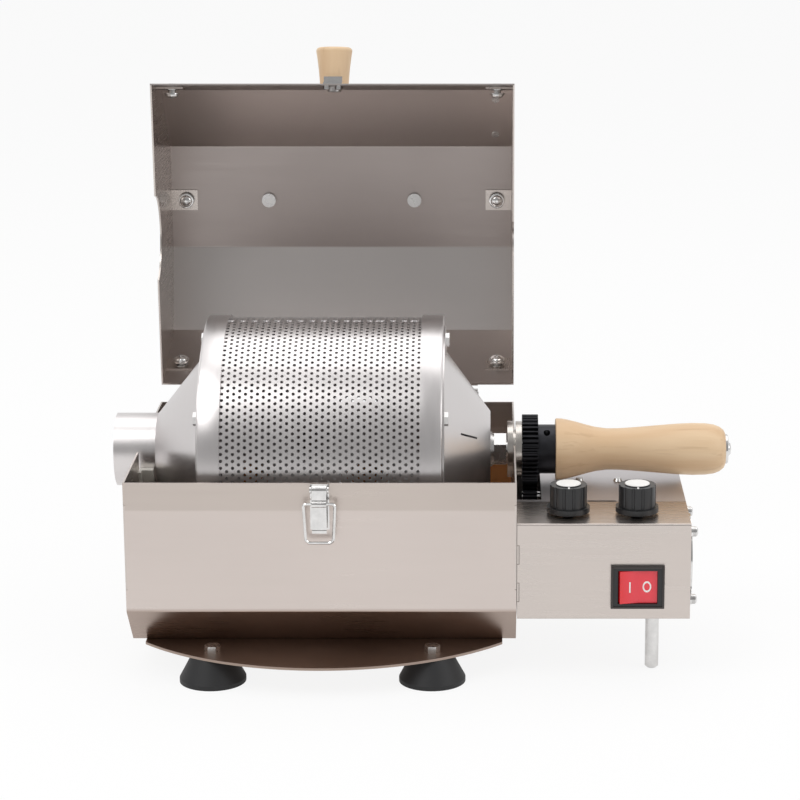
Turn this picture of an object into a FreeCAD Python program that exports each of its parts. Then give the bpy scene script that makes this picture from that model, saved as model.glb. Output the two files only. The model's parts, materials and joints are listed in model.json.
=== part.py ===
import FreeCAD, Part
import math
import os

import Sketcher
from FreeCAD import Placement, Rotation, Vector

doc = FreeCAD.newDocument("CoffeeRoaster")
sheet = doc.addObject("Spreadsheet::Sheet", "Sizes")

# Driving dimensions, in millimetres, degrees and counts
SIZES = {
    # where the housing stands: its middle and its front panel from the origin
    "middle_x": 58, "front_y": 125, "parting_height": 120, "free": 0.3, "running": 0.05,
    # housing of folded steel sheet
    "steel": 1, "housing_width": 226, "housing_depth": 190, "front_height": 77.5, "bevel": 25,
    "tab_length": 50.5, "tab_top": 13.5, "neck_notch": 28, "bush_notch": 12.2,
    # base plate and feet
    "plate_thick": 1.5, "plate_margin": 8, "plate_arc": 143, "plate_reach": 27, "foot_space": 128,
    "foot_inset": 2, "foot_top": 12.2, "foot_bottom": 19.4, "foot_bolt": 2.5, "foot_nut": 8, "nut_high": 4,
    # drum axis, from the front panel and below the parting plane, and the drum's middle
    "axis_back": 95, "axis_drop": 5.5, "drum_shift": 1, "nut_gap": 0.7, "mesh_radius": 80, "mesh_skin": 0.8,
    "ring_skin": 1.5, "ring_width": 13, "ring_lip": 59.8, "flange_radius": 75, "sheet": 1, "neck_radius": 22,
    "neck_length": 25, "cone_left_length": 31, "cone_right_length": 28, "cone_end": 23, "vane_count": 4,
    "vane_depth": 17, "cone_screws": 6, "screw_circle": 68, "screw_head": 3.6,
    "screw_high": 2.4, "slit_start": 10.5, "slit_length": 9.5, "slit_width": 1.2,
    # shaft, bush, gears and handle
    "shaft_radius": 5, "washer_radius": 10.5, "washer_thick": 1.1, "nut_flats": 17, "nut_length": 7.4,
    "bush_flange": 17, "bush_inner": 3.4, "bush_outer": 3.6, "bush_body": 11.9,
    "gear_teeth": 40, "pinion_teeth": 20, "module": 1, "gear_width": 9.6, "backlash": 0.12,
    "hub_radius": 14.9, "hub_length": 10.6, "handle_length": 103, "handle_flare": 18.5, "handle_waist": 12.5,
    "handle_belly": 15.8, "handle_disc": 9, "handle_bore": 78, "saddle_width": 8, "saddle_wall": 5.4,
    # lid, drawn closed: the inside of its fold lines from the front panel and above its rim
    "lid_gap": 0.5, "lid_angle": 86, "lid_overhang": 1, "lid_front": 3, "lip_run": 12.8, "lip_height": 47.6,
    "crown_front": 55.4, "crown_height": 86.7, "crown_rear": 122.7, "crown_rear_height": 83.8,
    "shoulder_run": 15.6, "shoulder_height": 67.7, "lid_tab": 13.4, "lid_tab_long": 17, "lid_bolt": 2.5,
    "lid_bolt_inset": 9.6, "lip_bolt": 27, "rear_bolt": 23, "crown_bolt": 91, "crown_screw": 48,
    "crown_screw_head": 4.6, "rivet_inset": 10.5, "rivet_head": 2.4,
    # hinges
    "hinge_back": 8.9, "hinge_up": 3, "hinge_space": 140, "hinge_long": 40, "knuckle": 3.5, "pin_radius": 1.5,
    "leaf": 1.5, "leaf_high": 24,
    # lid knob, keeper and latch
    "knob_high": 24, "knob_base": 9, "knob_top": 11.3, "knob_bolt": 2, "keeper_width": 11.5, "keeper_reach": 5,
    "keeper_up": 9, "keeper_bolt": 4.6, "keeper_rivet": 1.4,
    "latch_width": 11, "latch_length": 27, "latch_roll": 2.7, "lever_length": 24, "bail_width": 20,
    "bail_length": 24, "bail_wire": 0.9, "bail_drop": 7.5,
    # heaters
    "heater_radius": 4, "heater_end": 25, "heater_in": 42, "heater_up": 13, "holder": 14,
    "reflector_high": 33,
    # control box
    "box_width": 100.3, "box_depth": 125, "box_floor": 38, "box_height": 57.5, "box_lip": 46,
    "opening_width": 15, "opening_front": 50, "opening_rear": 122, "box_tab": 11, "box_tab_up": 10.8, "box_tab_space": 22.6, "box_screw": 1.5,
    "cover_screw_space": 23.3, "cover_screw_x": 49.8, "cover_screw_y": 92, "knob_y": 21.7, "knob_x": 30.3,
    "knob_space": 40, "dial_skirt": 12.5, "dial_skirt_high": 3, "dial_radius": 10.8, "dial_high": 16,
    "dial_cap": 7.4, "dial_flutes": 12, "pot_radius": 8, "pot_high": 9, "pot_bush": 3.5, "dial_shaft": 3,
    "switch_x": 30.6, "switch_up": 19.8, "bezel_width": 31, "bezel_high": 25.5, "bezel_thick": 2,
    "switch_width": 27.6, "switch_high": 22, "switch_deep": 20, "rocker_width": 22.4, "rocker_high": 19.4,
    "rocker_angle": 7, "inlet_x": 20.3, "inlet_width": 28, "inlet_high": 20, "inlet_deep": 13,
    "fan_y": 32, "fan_up": 29, "fan_size": 50, "fan_thick": 15, "fan_bore": 23.5, "fan_hub": 12,
    "fan_blades": 7, "fan_space": 41, "guard_wire": 0.8, "leg_x": 20.3, "leg_y": 25, "leg_radius": 4,
    # gear motor
    "gearbox_wide": 44, "gearbox_high": 40, "gearbox_long": 18, "gearbox_over": 7.5, "can_radius": 16.5,
    "can_long": 26, "can_drop": 14.5, "motor_shaft": 3, "bracket_thick": 1.5, "bracket_width": 46,
    "bracket_foot": 15, "leg_nut": 7,
}

for row, (alias, number) in enumerate(SIZES.items(), 1):
    sheet.set(f"A{row}", alias)
    sheet.set(f"B{row}", str(number))
    sheet.setAlias(f"B{row}", alias)
doc.recompute()

RIVETS = (0.16, 0.77)  # where the lid's two rivets sit along its front slope
BEND = math.tan(math.radians(22.5))  # how far a 45 degree bend's inside corner lies along the sheet
SLIT_TURN = (Vector(-1, 0, 0), 26.0)  # the slit in the right cone, up from the front
KEEPER_RIVETS = 0.33  # how far out the keeper's two rivets sit, as a share of its width


class Size:
    """A number of the sheet, or a sum worked out from some, with the formula that gives it."""

    def __init__(self, number, formula):
        self.number = number
        self.formula = formula

    def __add__(self, other):
        return joined(self, "+", other, self.number + plain(other))

    def __radd__(self, other):
        return joined(other, "+", self, plain(other) + self.number)

    def __sub__(self, other):
        return joined(self, "-", other, self.number - plain(other))

    def __rsub__(self, other):
        return joined(other, "-", self, plain(other) - self.number)

    def __mul__(self, other):
        return joined(self, "*", other, self.number * plain(other))

    def __rmul__(self, other):
        return joined(other, "*", self, plain(other) * self.number)

    def __truediv__(self, other):
        return joined(self, "/", other, self.number / plain(other))

    def __neg__(self):
        return Size(-self.number, f"(0 - {self.formula})")


def plain(value):
    return value.number if isinstance(value, Size) else float(value)


def words(value):
    return value.formula if isinstance(value, Size) else repr(float(value))


def joined(one, sign, other, number):
    return Size(number, f"({words(one)} {sign} {words(other)})")


def sine(angle):
    return Size(math.sin(math.radians(plain(angle))), f"sin({words(angle)} * 1 deg)")


def cosine(angle):
    return Size(math.cos(math.radians(plain(angle))), f"cos({words(angle)} * 1 deg)")


def length_of(run, rise):
    formula = f"sqrt({words(run * run)} + {words(rise * rise)})"
    return Size(math.hypot(plain(run), plain(rise)), formula)


class Sheet:
    """The sheet's cells, each read by its alias."""

    def __getattr__(self, alias):
        return Size(float(sheet.get(alias)), f"Sizes.{alias}")


s = Sheet()

# Places that several pieces share. The housing's own zero is its middle, its front panel and the floor
half_width = s.housing_width / 2
parting = s.parting_height
plate_inside = half_width - s.steel
bevel_floor = parting - s.front_height - s.bevel
axis_z = parting - s.axis_drop
ring_radius = s.mesh_radius + s.ring_skin
bush_start = half_width - s.steel - s.free - s.bush_inner
bush_end = half_width + s.free + s.bush_outer
drum_end = bush_start + s.drum_shift - s.nut_gap - s.nut_length - s.washer_thick * 2
drum_half = drum_end - s.cone_right_length
vane_length = (drum_half - s.ring_width) * 2
plate_width = s.housing_width - s.plate_margin * 2
heater_length = s.housing_width - s.heater_end * 2
gear_start = bush_end + s.drum_shift + s.free
gear_radius = (s.gear_teeth + 2) * s.module / 2
hub_start = gear_start + s.gear_width
handle_start = hub_start + s.hub_length
pinion_z = axis_z - (s.gear_teeth + s.pinion_teeth) * s.module / 2
box_left = half_width + s.free
box_right = box_left + s.box_width
box_top = s.box_floor + s.box_height
switch_x = s.box_width - s.switch_x
inlet_x = s.box_width - s.inlet_x
leg_x = s.box_width - s.leg_x
cover_screw_x = s.box_width - s.cover_screw_x
hinge_y = s.housing_depth + s.hinge_back
top_y = s.front_y


def bind(thing, path, value):
    """Set a property, and tie it to its formula where it has one."""
    if "." not in path:
        setattr(thing, path, plain(value))
    if isinstance(value, Size):
        thing.setExpression(path, value.formula)


def settle(thing, x=0.0, y=0.0, z=0.0, turn=None):
    """Place a thing at x, y, z, turned by an axis and an angle."""
    axis, angle = turn or (Vector(0, 0, 1), 0.0)
    thing.Placement = Placement(Vector(plain(x), plain(y), plain(z)), Rotation(axis, plain(angle)))
    for path, value in (("x", x), ("y", y), ("z", z)):
        bind(thing, "Placement.Base." + path, value)
    bind(thing, "Placement.Rotation.Angle", angle)
    return thing


ALONG = {
    "X": (Vector(0, 1, 0), 90.0),
    "Y": (Vector(1, 0, 0), -90.0),
    "Z": (Vector(0, 0, 1), 0.0),
    "-X": (Vector(0, 1, 0), -90.0),
    "-Y": (Vector(1, 0, 0), 90.0),
    "-Z": (Vector(1, 0, 0), 180.0),
}
YZ_PLANE = (Vector(1, 1, 1), 120.0)


def block(x, y, z, wide, deep, high):
    """A box from its lowest corner."""
    thing = doc.addObject("Part::Box", "Block")
    for path, value in (("Length", wide), ("Width", deep), ("Height", high)):
        bind(thing, path, value)
    return settle(thing, x, y, z)


def rod(x, y, z, radius, length, along="Z"):
    thing = doc.addObject("Part::Cylinder", "Rod")
    bind(thing, "Radius", radius)
    bind(thing, "Height", length)
    return settle(thing, x, y, z, ALONG[along])


def taper(x, y, z, first, last, length, along="Z"):
    thing = doc.addObject("Part::Cone", "Taper")
    bind(thing, "Radius1", first)
    bind(thing, "Radius2", last)
    bind(thing, "Height", length)
    return settle(thing, x, y, z, ALONG[along])


def hexagon(x, y, z, flats, length, along="Z"):
    """A six-sided prism, for nuts and bolt heads."""
    thing = doc.addObject("Part::Prism", "Hexagon")
    thing.Polygon = 6
    bind(thing, "Circumradius", flats / math.sqrt(3))
    bind(thing, "Height", length)
    return settle(thing, x, y, z, ALONG[along])


def fused(*pieces):
    thing = doc.addObject("Part::MultiFuse", "Fused")
    thing.Shapes = list(pieces)
    return thing


def cut(base, *tools):
    thing = doc.addObject("Part::Cut", "Cut")
    thing.Base = base
    thing.Tool = tools[0] if len(tools) == 1 else fused(*tools)
    return thing


def group(*pieces):
    """Separate solids in one node."""
    thing = doc.addObject("Part::Compound", "Group")
    thing.Links = list(pieces)
    return thing


def shaped(shape):
    thing = doc.addObject("Part::Feature", "Shaped")
    thing.Shape = shape
    return thing


def draw(sketch, points, closed):
    """Draw straight lines through the points, each held to its formulas."""
    count = len(points) if closed else len(points) - 1
    corners = [Vector(plain(u), plain(v), 0) for u, v in points]
    for i in range(count):
        sketch.addGeometry(Part.LineSegment(corners[i], corners[(i + 1) % len(points)]), False)
    for i in range(1, count):
        sketch.addConstraint(Sketcher.Constraint("Coincident", i - 1, 2, i, 1))
    if closed:
        sketch.addConstraint(Sketcher.Constraint("Coincident", count - 1, 2, 0, 1))
    for i, point in enumerate(points):
        line, end = (i, 1) if i < count else (count - 1, 2)
        for kind, value in zip(("DistanceX", "DistanceY"), point):
            held = Sketcher.Constraint(kind, -1, 1, line, end, plain(value))
            index = sketch.addConstraint(held)
            if isinstance(value, Size):
                sketch.setExpression(f"Constraints[{index}]", value.formula)


def side_sketch(points, closed):
    """A sketch seen from the side: its first axis runs back and its second up."""
    sketch = doc.addObject("Sketcher::SketchObject", "Outline")
    axis, angle = YZ_PLANE
    sketch.Placement = Placement(Vector(0, 0, 0), Rotation(axis, angle))
    draw(sketch, points, closed)
    return sketch


def extruded(source, width, along=Vector(1, 0, 0), centred=True):
    thing = doc.addObject("Part::Extrusion", "Extruded")
    thing.Base = source
    thing.DirMode = "Custom"
    thing.Dir = along
    thing.Symmetric = centred
    thing.Solid = True
    bind(thing, "LengthFwd", width)
    return thing


def folded(points, thickness, width, centred=True):
    """Sheet folded along an open profile: the points are its inside, and the bends are round outside."""
    skin = doc.addObject("Part::Offset2D", "Skin")
    skin.Source = side_sketch(points, False)
    skin.Mode = "Skin"
    skin.Join = "Arc"
    skin.Fill = True
    bind(skin, "Value", thickness)
    return extruded(skin, width, centred=centred)


def side_plate(points, thickness, x):
    """A flat plate that stands at x and faces sideways."""
    return settle(extruded(side_sketch(points, True), thickness, centred=False), x)


def turned(points, axis):
    """A body turned about the sketch's first axis (X) or second axis (Z)."""
    body = doc.addObject("PartDesign::Body", "Turned")
    sketch = body.newObject("Sketcher::SketchObject", "TurnedOutline")
    plane = next(f for f in body.Origin.OriginFeatures if f.Role == "XZ_Plane")
    sketch.AttachmentSupport = (plane, [""])
    sketch.MapMode = "FlatFace"
    draw(sketch, points, True)
    turn = body.newObject("PartDesign::Revolution", "Turn")
    turn.Profile = sketch
    turn.ReferenceAxis = (sketch, ["H_Axis" if axis == "X" else "V_Axis"])
    turn.Angle = 360
    return body


nodes = {}


def keep(label, thing):
    thing.Label = label
    nodes[label] = thing
    return thing


def keep_on_housing(label, thing):
    return keep(label, settle(thing, -s.middle_x, -top_y))


def keep_on_drum(label, thing, x=0.0):
    """Drawn about the drum's axis, from the drum's middle."""
    return keep(label, settle(thing, x - s.middle_x - s.drum_shift, s.axis_back - top_y, axis_z))


def keep_on_lid(label, thing):
    """Drawn closed, from the front panel and the parting plane, and swung open about the hinge."""
    back = hinge_y - hinge_y * cosine(s.lid_angle) - s.hinge_up * sine(s.lid_angle)
    up = s.hinge_up + hinge_y * sine(s.lid_angle) - s.hinge_up * cosine(s.lid_angle)
    turn = (Vector(-1, 0, 0), s.lid_angle)
    return keep(label, settle(thing, -s.middle_x, back - top_y, up + parting, turn))


def keep_on_box(label, thing):
    """Drawn from the control box's left side, the front panel and the floor."""
    return keep(label, settle(thing, box_left - s.middle_x, -top_y))


# Housing


def housing_profile():
    """The inside of the housing's folds, from the rear wall's top to the front wall's."""
    wall, back, fold = s.steel, s.housing_depth, s.steel * BEND
    bend = parting - s.front_height + fold
    return [
        (wall, parting),
        (wall, bend),
        (s.bevel + fold, bevel_floor + wall),
        (back - s.bevel - fold, bevel_floor + wall),
        (back - wall, bend),
        (back - wall, parting),
    ]


def end_tabs(x, slack):
    """The tongues of an end plate, which pass through the front and rear walls."""
    low = parting - s.tab_top - s.tab_length
    return [
        block(x, y, low - slack, s.steel, s.steel + slack, s.tab_length + slack * 2)
        for y in (0.0 - slack, s.housing_depth - s.steel)
    ]


def make_housing_shell():
    sheet_metal = folded(housing_profile(), s.steel, s.housing_width)
    slack = s.free
    keep_on_housing(
        "housing_shell",
        cut(sheet_metal, *end_tabs(plate_inside, slack), *end_tabs(-half_width, slack)),
    )


def end_plate(x, notch):
    plate = side_plate(housing_profile(), s.steel, x)
    low = parting - s.tab_top - s.tab_length
    tabs = [
        block(x, y, low, s.steel, s.steel, s.tab_length)
        for y in (0.0, s.housing_depth - s.steel)
    ]
    hole = rod(x - s.steel, s.axis_back, axis_z, notch, s.steel * 3, "X")
    mouth = block(x - s.steel, s.axis_back - notch, axis_z, s.steel * 3, notch * 2, s.axis_drop * 2)
    return cut(fused(plate, *tabs), hole, mouth)


def make_housing_ends():
    for x, notch, name in ((-half_width, s.neck_notch, "left"), (plate_inside, s.bush_notch, "right")):
        keep_on_housing(f"housing_end_{name}", end_plate(x, notch))


def make_base_plate():
    under = bevel_floor - s.plate_thick
    front = rod(0.0, s.plate_arc - s.plate_reach, under, s.plate_arc, s.plate_thick)
    rear = rod(0.0, s.housing_depth - s.plate_arc + s.plate_reach, under, s.plate_arc, s.plate_thick)
    slab = block(
        -plate_width / 2, -s.plate_arc, under, plate_width, s.housing_depth + s.plate_arc * 2, s.plate_thick
    )
    thing = doc.addObject("Part::MultiCommon", "PlateOutline")
    thing.Shapes = [front, rear, slab]
    holes = [rod(x, y, under - 1, s.foot_bolt, s.plate_thick + 2) for x, y in foot_places()]
    keep_on_housing("base_plate", cut(thing, *holes))


def foot_places():
    return [
        (side * s.foot_space / 2, y)
        for side in (-1, 1)
        for y in (s.foot_inset, s.housing_depth - s.foot_inset)
    ]


def make_feet():
    high = bevel_floor - s.plate_thick
    feet, bolts = [], []
    for x, y in foot_places():
        skirt = rod(x, y, 0.0, s.foot_bottom, 2.5)
        rubber = fused(skirt, taper(x, y, 2.5, s.foot_bottom, s.foot_top, high - 2.5))
        bore = rod(x, y, -1, s.foot_bolt, high + 2)
        feet.append(cut(rubber, bore, rod(x, y, -1, s.foot_nut * 0.7, 6.0)))
        bolt = rod(x, y, 5.0, s.foot_bolt, high - 5 + s.plate_thick)
        head = hexagon(x, y, 1.6, s.foot_nut, 3.4)
        nut = hexagon(x, y, bevel_floor, s.foot_nut, s.nut_high)
        bolts.append(fused(bolt, head, nut))
    keep_on_housing("rubber_feet", group(*feet))
    keep_on_housing("foot_bolts", group(*bolts))


# Drum, drawn about its axis from its middle


def make_drum_mesh():
    half = drum_half - s.sheet
    tube = rod(-half, 0.0, 0.0, s.mesh_radius, half * 2, "X")
    bore = rod(-half - 1, 0.0, 0.0, s.mesh_radius - s.mesh_skin, half * 2 + 2, "X")
    keep_on_drum("drum_mesh", cut(tube, bore))


def make_rings():
    end, wide = drum_half, s.ring_width
    for side, name in ((-1, "left"), (1, "right")):
        outline = [
            (side * end, s.ring_lip),
            (side * end, ring_radius),
            (side * (end - wide), ring_radius),
            (side * (end - wide), s.mesh_radius),
            (side * (end - s.sheet), s.mesh_radius),
            (side * (end - s.sheet), s.ring_lip),
        ]
        keep_on_drum(f"drum_ring_{name}", turned(outline, "X"))


def make_cones():
    wall, end = s.sheet, drum_half
    mouth = end + s.cone_left_length
    left = [
        (-end, s.flange_radius),
        (-end - wall, s.flange_radius),
        (-end - wall, s.ring_lip),
        (-mouth, s.neck_radius),
        (-mouth - s.neck_length, s.neck_radius),
        (-mouth - s.neck_length, s.neck_radius - wall),
        (-mouth + wall * 0.6, s.neck_radius - wall),
        (-end, s.ring_lip - wall * 1.4),
    ]
    keep_on_drum("cone_left", turned(left, "X"))
    right = [
        (end, s.flange_radius),
        (end + wall, s.flange_radius),
        (end + wall, s.ring_lip),
        (drum_end, s.cone_end),
        (drum_end, s.shaft_radius),
        (drum_end - wall, s.shaft_radius),
        (drum_end - wall, s.cone_end - wall),
        (end, s.ring_lip - wall * 1.4),
    ]
    slit = block(0.0, -s.ring_lip, -s.slit_width / 2, s.slit_length, s.ring_lip - s.cone_end, s.slit_width)
    slit = settle(group(settle(slit, end + s.slit_start, -s.ring_lip, -s.slit_width / 2)), turn=SLIT_TURN)
    keep_on_drum("cone_right", cut(turned(right, "X"), slit))


def make_cone_screws():
    screws = []
    for side in (-1, 1):
        for number in range(sheet_count("cone_screws")):
            angle = 2 * math.pi * (number + 0.5) / sheet_count("cone_screws")
            y = s.screw_circle * math.cos(angle)
            z = s.screw_circle * math.sin(angle)
            along = "X" if side > 0 else "-X"
            face = drum_half + s.sheet
            head = hexagon(side * face, y, z, s.screw_head * 2, s.screw_high, along)
            nut = hexagon(side * (drum_half - s.sheet - s.screw_high), y, z, s.screw_head * 2, s.screw_high, along)
            screws += [head, nut]
    keep_on_drum("cone_screws", group(*screws))


def sheet_count(alias):
    return round(sheet.get(alias))


def make_vanes():
    outer = s.mesh_radius - s.mesh_skin
    vanes = []
    for number in range(sheet_count("vane_count")):
        blade = block(-vane_length / 2, -s.sheet / 2, outer - s.vane_depth, vane_length, s.sheet, s.vane_depth - s.free)
        foot = block(-vane_length / 2, -s.sheet / 2, outer - 2.4, vane_length, 11.0, s.sheet)
        vane = fused(blade, foot)
        settle(vane, turn=(Vector(1, 0, 0), 45.0 + 360.0 * number / sheet_count("vane_count")))
        vanes.append(vane)
    keep_on_drum("drum_vanes", group(*vanes))


# Shaft line, drawn about the drum's axis from the drum's middle


def make_shaft():
    start = drum_end - s.sheet - 6
    stop = handle_start + s.handle_bore
    keep_on_drum("drum_shaft", group(rod(start, 0.0, 0.0, s.shaft_radius, stop - start, "X")))
    washers = []
    for x, radius in ((drum_end, s.washer_radius), (drum_end + s.washer_thick, s.washer_radius * 0.92)):
        disc = rod(x, 0.0, 0.0, radius, s.washer_thick, "X")
        washers.append(cut(disc, rod(x - 1, 0.0, 0.0, s.shaft_radius, s.washer_thick + 2, "X")))
    inner = drum_end - s.sheet - s.washer_thick
    washers.append(
        cut(
            rod(inner, 0.0, 0.0, s.washer_radius, s.washer_thick, "X"),
            rod(inner - 1, 0.0, 0.0, s.shaft_radius, s.washer_thick + 2, "X"),
        )
    )
    keep_on_drum("shaft_washers", group(*washers))
    nut_at = drum_end + s.washer_thick * 2
    hexes = hexagon(nut_at, 0.0, 0.0, s.nut_flats, s.nut_length, "X")
    round_off = taper(nut_at - 10, 0.0, 0.0, s.nut_flats * 1.16, s.nut_flats * 0.53, s.nut_length + 12, "X")
    chamfered = doc.addObject("Part::MultiCommon", "NutBlank")
    chamfered.Shapes = [hexes, round_off]
    keep_on_drum("shaft_nut", cut(chamfered, rod(nut_at - 1, 0.0, 0.0, s.shaft_radius, s.nut_length + 2, "X")))


def make_bush():
    """The flanged bush that sits in the right end plate's notch and carries the shaft."""
    shift = s.drum_shift
    bore = s.shaft_radius + s.running
    outline = [
        (bush_start + shift, bore),
        (bush_start + shift, s.bush_flange),
        (bush_start + shift + s.bush_inner, s.bush_flange),
        (bush_start + shift + s.bush_inner, s.bush_body),
        (bush_end + shift - s.bush_outer, s.bush_body),
        (bush_end + shift - s.bush_outer, s.bush_flange),
        (bush_end + shift, s.bush_flange),
        (bush_end + shift, bore),
    ]
    keep_on_drum("bearing_bush", turned(outline, "X"))


def involute(base, angle):
    """A point of the involute of a circle, unrolled by an angle in radians."""
    x = base * (math.cos(angle) + angle * math.sin(angle))
    y = base * (math.sin(angle) - angle * math.cos(angle))
    return x, y


def turned_point(x, y, angle):
    """A point of a gear's face, turned about the gear's axis, which is X here."""
    c, k = math.cos(angle), math.sin(angle)
    return Vector(0, x * c - y * k, x * k + y * c)


def gear_shape(teeth, bore, width, start):
    """A spur gear with involute flanks at 20 degrees, its first tooth's middle at the angle start."""
    pitch_radius = teeth * s.module.number / 2
    tip = pitch_radius + s.module.number
    root = pitch_radius - 1.25 * s.module.number
    base = pitch_radius * math.cos(math.radians(20))
    lowest = max(root, base)

    def roll(radius):
        return math.sqrt(max((radius / base) ** 2 - 1, 0))

    def lean(radius):
        x, y = involute(base, roll(radius))
        return math.atan2(y, x)

    half_tooth = math.pi / (2 * teeth) - s.backlash.number / (2 * pitch_radius) + lean(pitch_radius)
    edges = []
    for tooth in range(teeth):
        middle = start + 2 * math.pi * tooth / teeth
        after = middle + 2 * math.pi / teeth
        flank = [lowest, (lowest + tip) / 2, tip]
        rising = [point_at(r, middle - half_tooth + lean(r)) for r in flank]
        falling = [point_at(r, middle + half_tooth - lean(r)) for r in reversed(flank)]
        foot_out = point_at(root, middle + half_tooth - lean(lowest))
        next_foot = point_at(root, after - half_tooth + lean(lowest))
        next_flank = point_at(lowest, after - half_tooth + lean(lowest))
        edges.append(Part.Arc(*rising).toShape())
        edges.append(Part.makeLine(rising[-1], falling[0]))
        edges.append(Part.Arc(*falling).toShape())
        if lowest > root + 0.01:
            edges.append(Part.makeLine(falling[-1], foot_out))
            edges.append(Part.makeLine(foot_out, next_foot))
            edges.append(Part.makeLine(next_foot, next_flank))
        else:
            edges.append(Part.makeLine(falling[-1], next_foot))
    face = Part.Face(Part.Wire(edges))
    solid = face.extrude(Vector(width, 0, 0))
    return solid.cut(Part.makeCylinder(bore, width + 2, Vector(-1, 0, 0), Vector(1, 0, 0)))


def point_at(radius, angle):
    return Vector(0, radius * math.cos(angle), radius * math.sin(angle))


def make_gears():
    wheel = gear_shape(sheet_count("gear_teeth"), s.shaft_radius.number, s.gear_width.number, 0.0)
    keep_on_drum("drive_gear", shaped(wheel), gear_start)
    hub = cut(
        rod(hub_start, 0.0, 0.0, s.hub_radius, s.hub_length, "X"),
        rod(hub_start - 1, 0.0, 0.0, s.shaft_radius, s.hub_length + 2, "X"),
        rod(hub_start + s.hub_length / 2, -s.hub_radius * 0.55, s.hub_radius * 0.2, 2.0, s.hub_radius, "Z"),
    )
    keep_on_drum("gear_hub", hub)
    teeth = sheet_count("pinion_teeth")
    half_pitch = math.pi / teeth
    pinion = gear_shape(teeth, s.motor_shaft.number, s.gear_width.number - 1, half_pitch)
    x = gear_start - s.drum_shift - s.middle_x + 0.5
    keep("drive_pinion", settle(shaped(pinion), x, s.axis_back - top_y, pinion_z))


def lathe(points, bores):
    """A wooden turning: arcs through each three radii along X, with holes from its start."""
    first, last = points[0], points[-1]
    spots = [Vector(x, 0, r) for x, r in points]
    edges = [Part.makeLine(Vector(first[0], 0, 0), spots[0])]
    for a, b, c in zip(spots[0::2], spots[1::2], spots[2::2]):
        edges.append(Part.Arc(a, b, c).toShape())
    edges.append(Part.makeLine(spots[-1], Vector(last[0], 0, 0)))
    edges.append(Part.makeLine(Vector(last[0], 0, 0), Vector(first[0], 0, 0)))
    solid = Part.Face(Part.Wire(edges)).revolve(Vector(0, 0, 0), Vector(1, 0, 0), 360)
    solid = Part.Solid(solid) if solid.ShapeType == "Shell" else solid
    for start, radius, length in bores:
        solid = solid.cut(Part.makeCylinder(radius, length, Vector(start, 0, 0), Vector(1, 0, 0)))
    return solid


def make_handle():
    long, flare = s.handle_length.number, s.handle_flare.number
    waist, belly, disc = s.handle_waist.number, s.handle_belly.number, s.handle_disc.number
    radii = [
        (0, flare - 0.6),
        (long * 0.035, flare),
        (long * 0.12, flare - 1.9),
        (long * 0.3, waist),
        (long * 0.52, waist + 1.2),
        (long * 0.8, belly),
        (long * 0.93, belly - 0.9),
        (long * 0.98, belly - 3.4),
        (long, disc + 0.5),
    ]
    bore = s.handle_bore.number
    holes = [(0, s.shaft_radius.number, bore), (bore - 1, 2.2, long - bore + 2)]
    keep_on_drum("wood_handle", shaped(lathe(radii, holes)), handle_start)
    end = handle_start + s.handle_length
    disc = cut(rod(end, 0.0, 0.0, s.handle_disc, 1.6, "X"), rod(end - 1, 0.0, 0.0, 2.2, 4.0, "X"))
    shank = rod(handle_start + s.handle_bore, 0.0, 0.0, 2.2, s.handle_length - s.handle_bore + 1.6, "X")
    head = rod(end + 1.6, 0.0, 0.0, 4.2, 2.2, "X")
    keep_on_drum("handle_screw", group(disc, fused(shank, head)))


def make_saddle():
    """The lined cradle on the left end plate that the drum's neck turns in."""
    wide = s.saddle_width
    inner = s.neck_radius + s.running
    outer = inner + s.saddle_wall
    x = -half_width + s.steel
    ring = cut(
        rod(x, s.axis_back, axis_z, outer, wide, "X"),
        rod(x - 1, s.axis_back, axis_z, inner, wide + 2, "X"),
        block(x - 1, s.axis_back - outer - 1, axis_z - 6, wide + 2, outer * 2 + 2, outer + 8),
    )
    pad = cut(
        rod(x, s.axis_back, axis_z, s.neck_notch + 5, s.sheet * 1.5, "X"),
        rod(x - 1, s.axis_back, axis_z, inner, wide + 2, "X"),
        block(x - 1, s.axis_back - s.neck_notch - 9, axis_z - 6, wide + 2, s.neck_notch * 2 + 18, s.neck_notch * 2),
    )
    keep_on_housing("neck_saddle", fused(ring, pad))


# Lid, drawn closed


def lid_profile():
    """The inside of the lid's folds, from the rear rim over the crown to the front rim."""
    rim = s.lid_gap
    back = s.housing_depth + s.lid_overhang
    return [
        (back, rim),
        (back - s.shoulder_run, rim + s.shoulder_height),
        (s.crown_rear, rim + s.crown_rear_height),
        (s.crown_front, rim + s.crown_height),
        (s.lip_run - s.lid_front, rim + s.lip_height),
        (-s.lid_front, rim),
    ]


def lean_of(start, end):
    """The angle of a facet, from the level, as it runs from one fold to the next."""
    run, rise = end[0] - start[0], end[1] - start[1]
    number = math.degrees(math.atan2(plain(rise), plain(run)))
    return Size(number, f"atan2({words(rise)}; {words(run)}) / 1 deg")


def on_facet(thing, start, end, share, proud, x):
    """Set a thing, drawn level, on a facet: zero is the inside of its sheet, and proud lifts it outward."""
    y = start[0] + (end[0] - start[0]) * share
    z = start[1] + (end[1] - start[1]) * share
    lean = lean_of(start, end)
    turn = (Vector(1, 0, 0), lean)
    return settle(group(thing), x, y - sine(lean) * proud, z + cosine(lean) * proud, turn)


def facets():
    """Where each row of lid bolts sits: its facet, from front to rear, and how far along it."""
    rear, shoulder, crown_rear, crown_front, lip, front = lid_profile()
    return [
        (front, lip, s.lip_bolt / s.lip_height),
        (crown_front, crown_rear, (s.crown_bolt - s.crown_front) / (s.crown_rear - s.crown_front)),
        (shoulder, rear, 1 - s.rear_bolt / s.shoulder_height),
    ]


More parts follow.
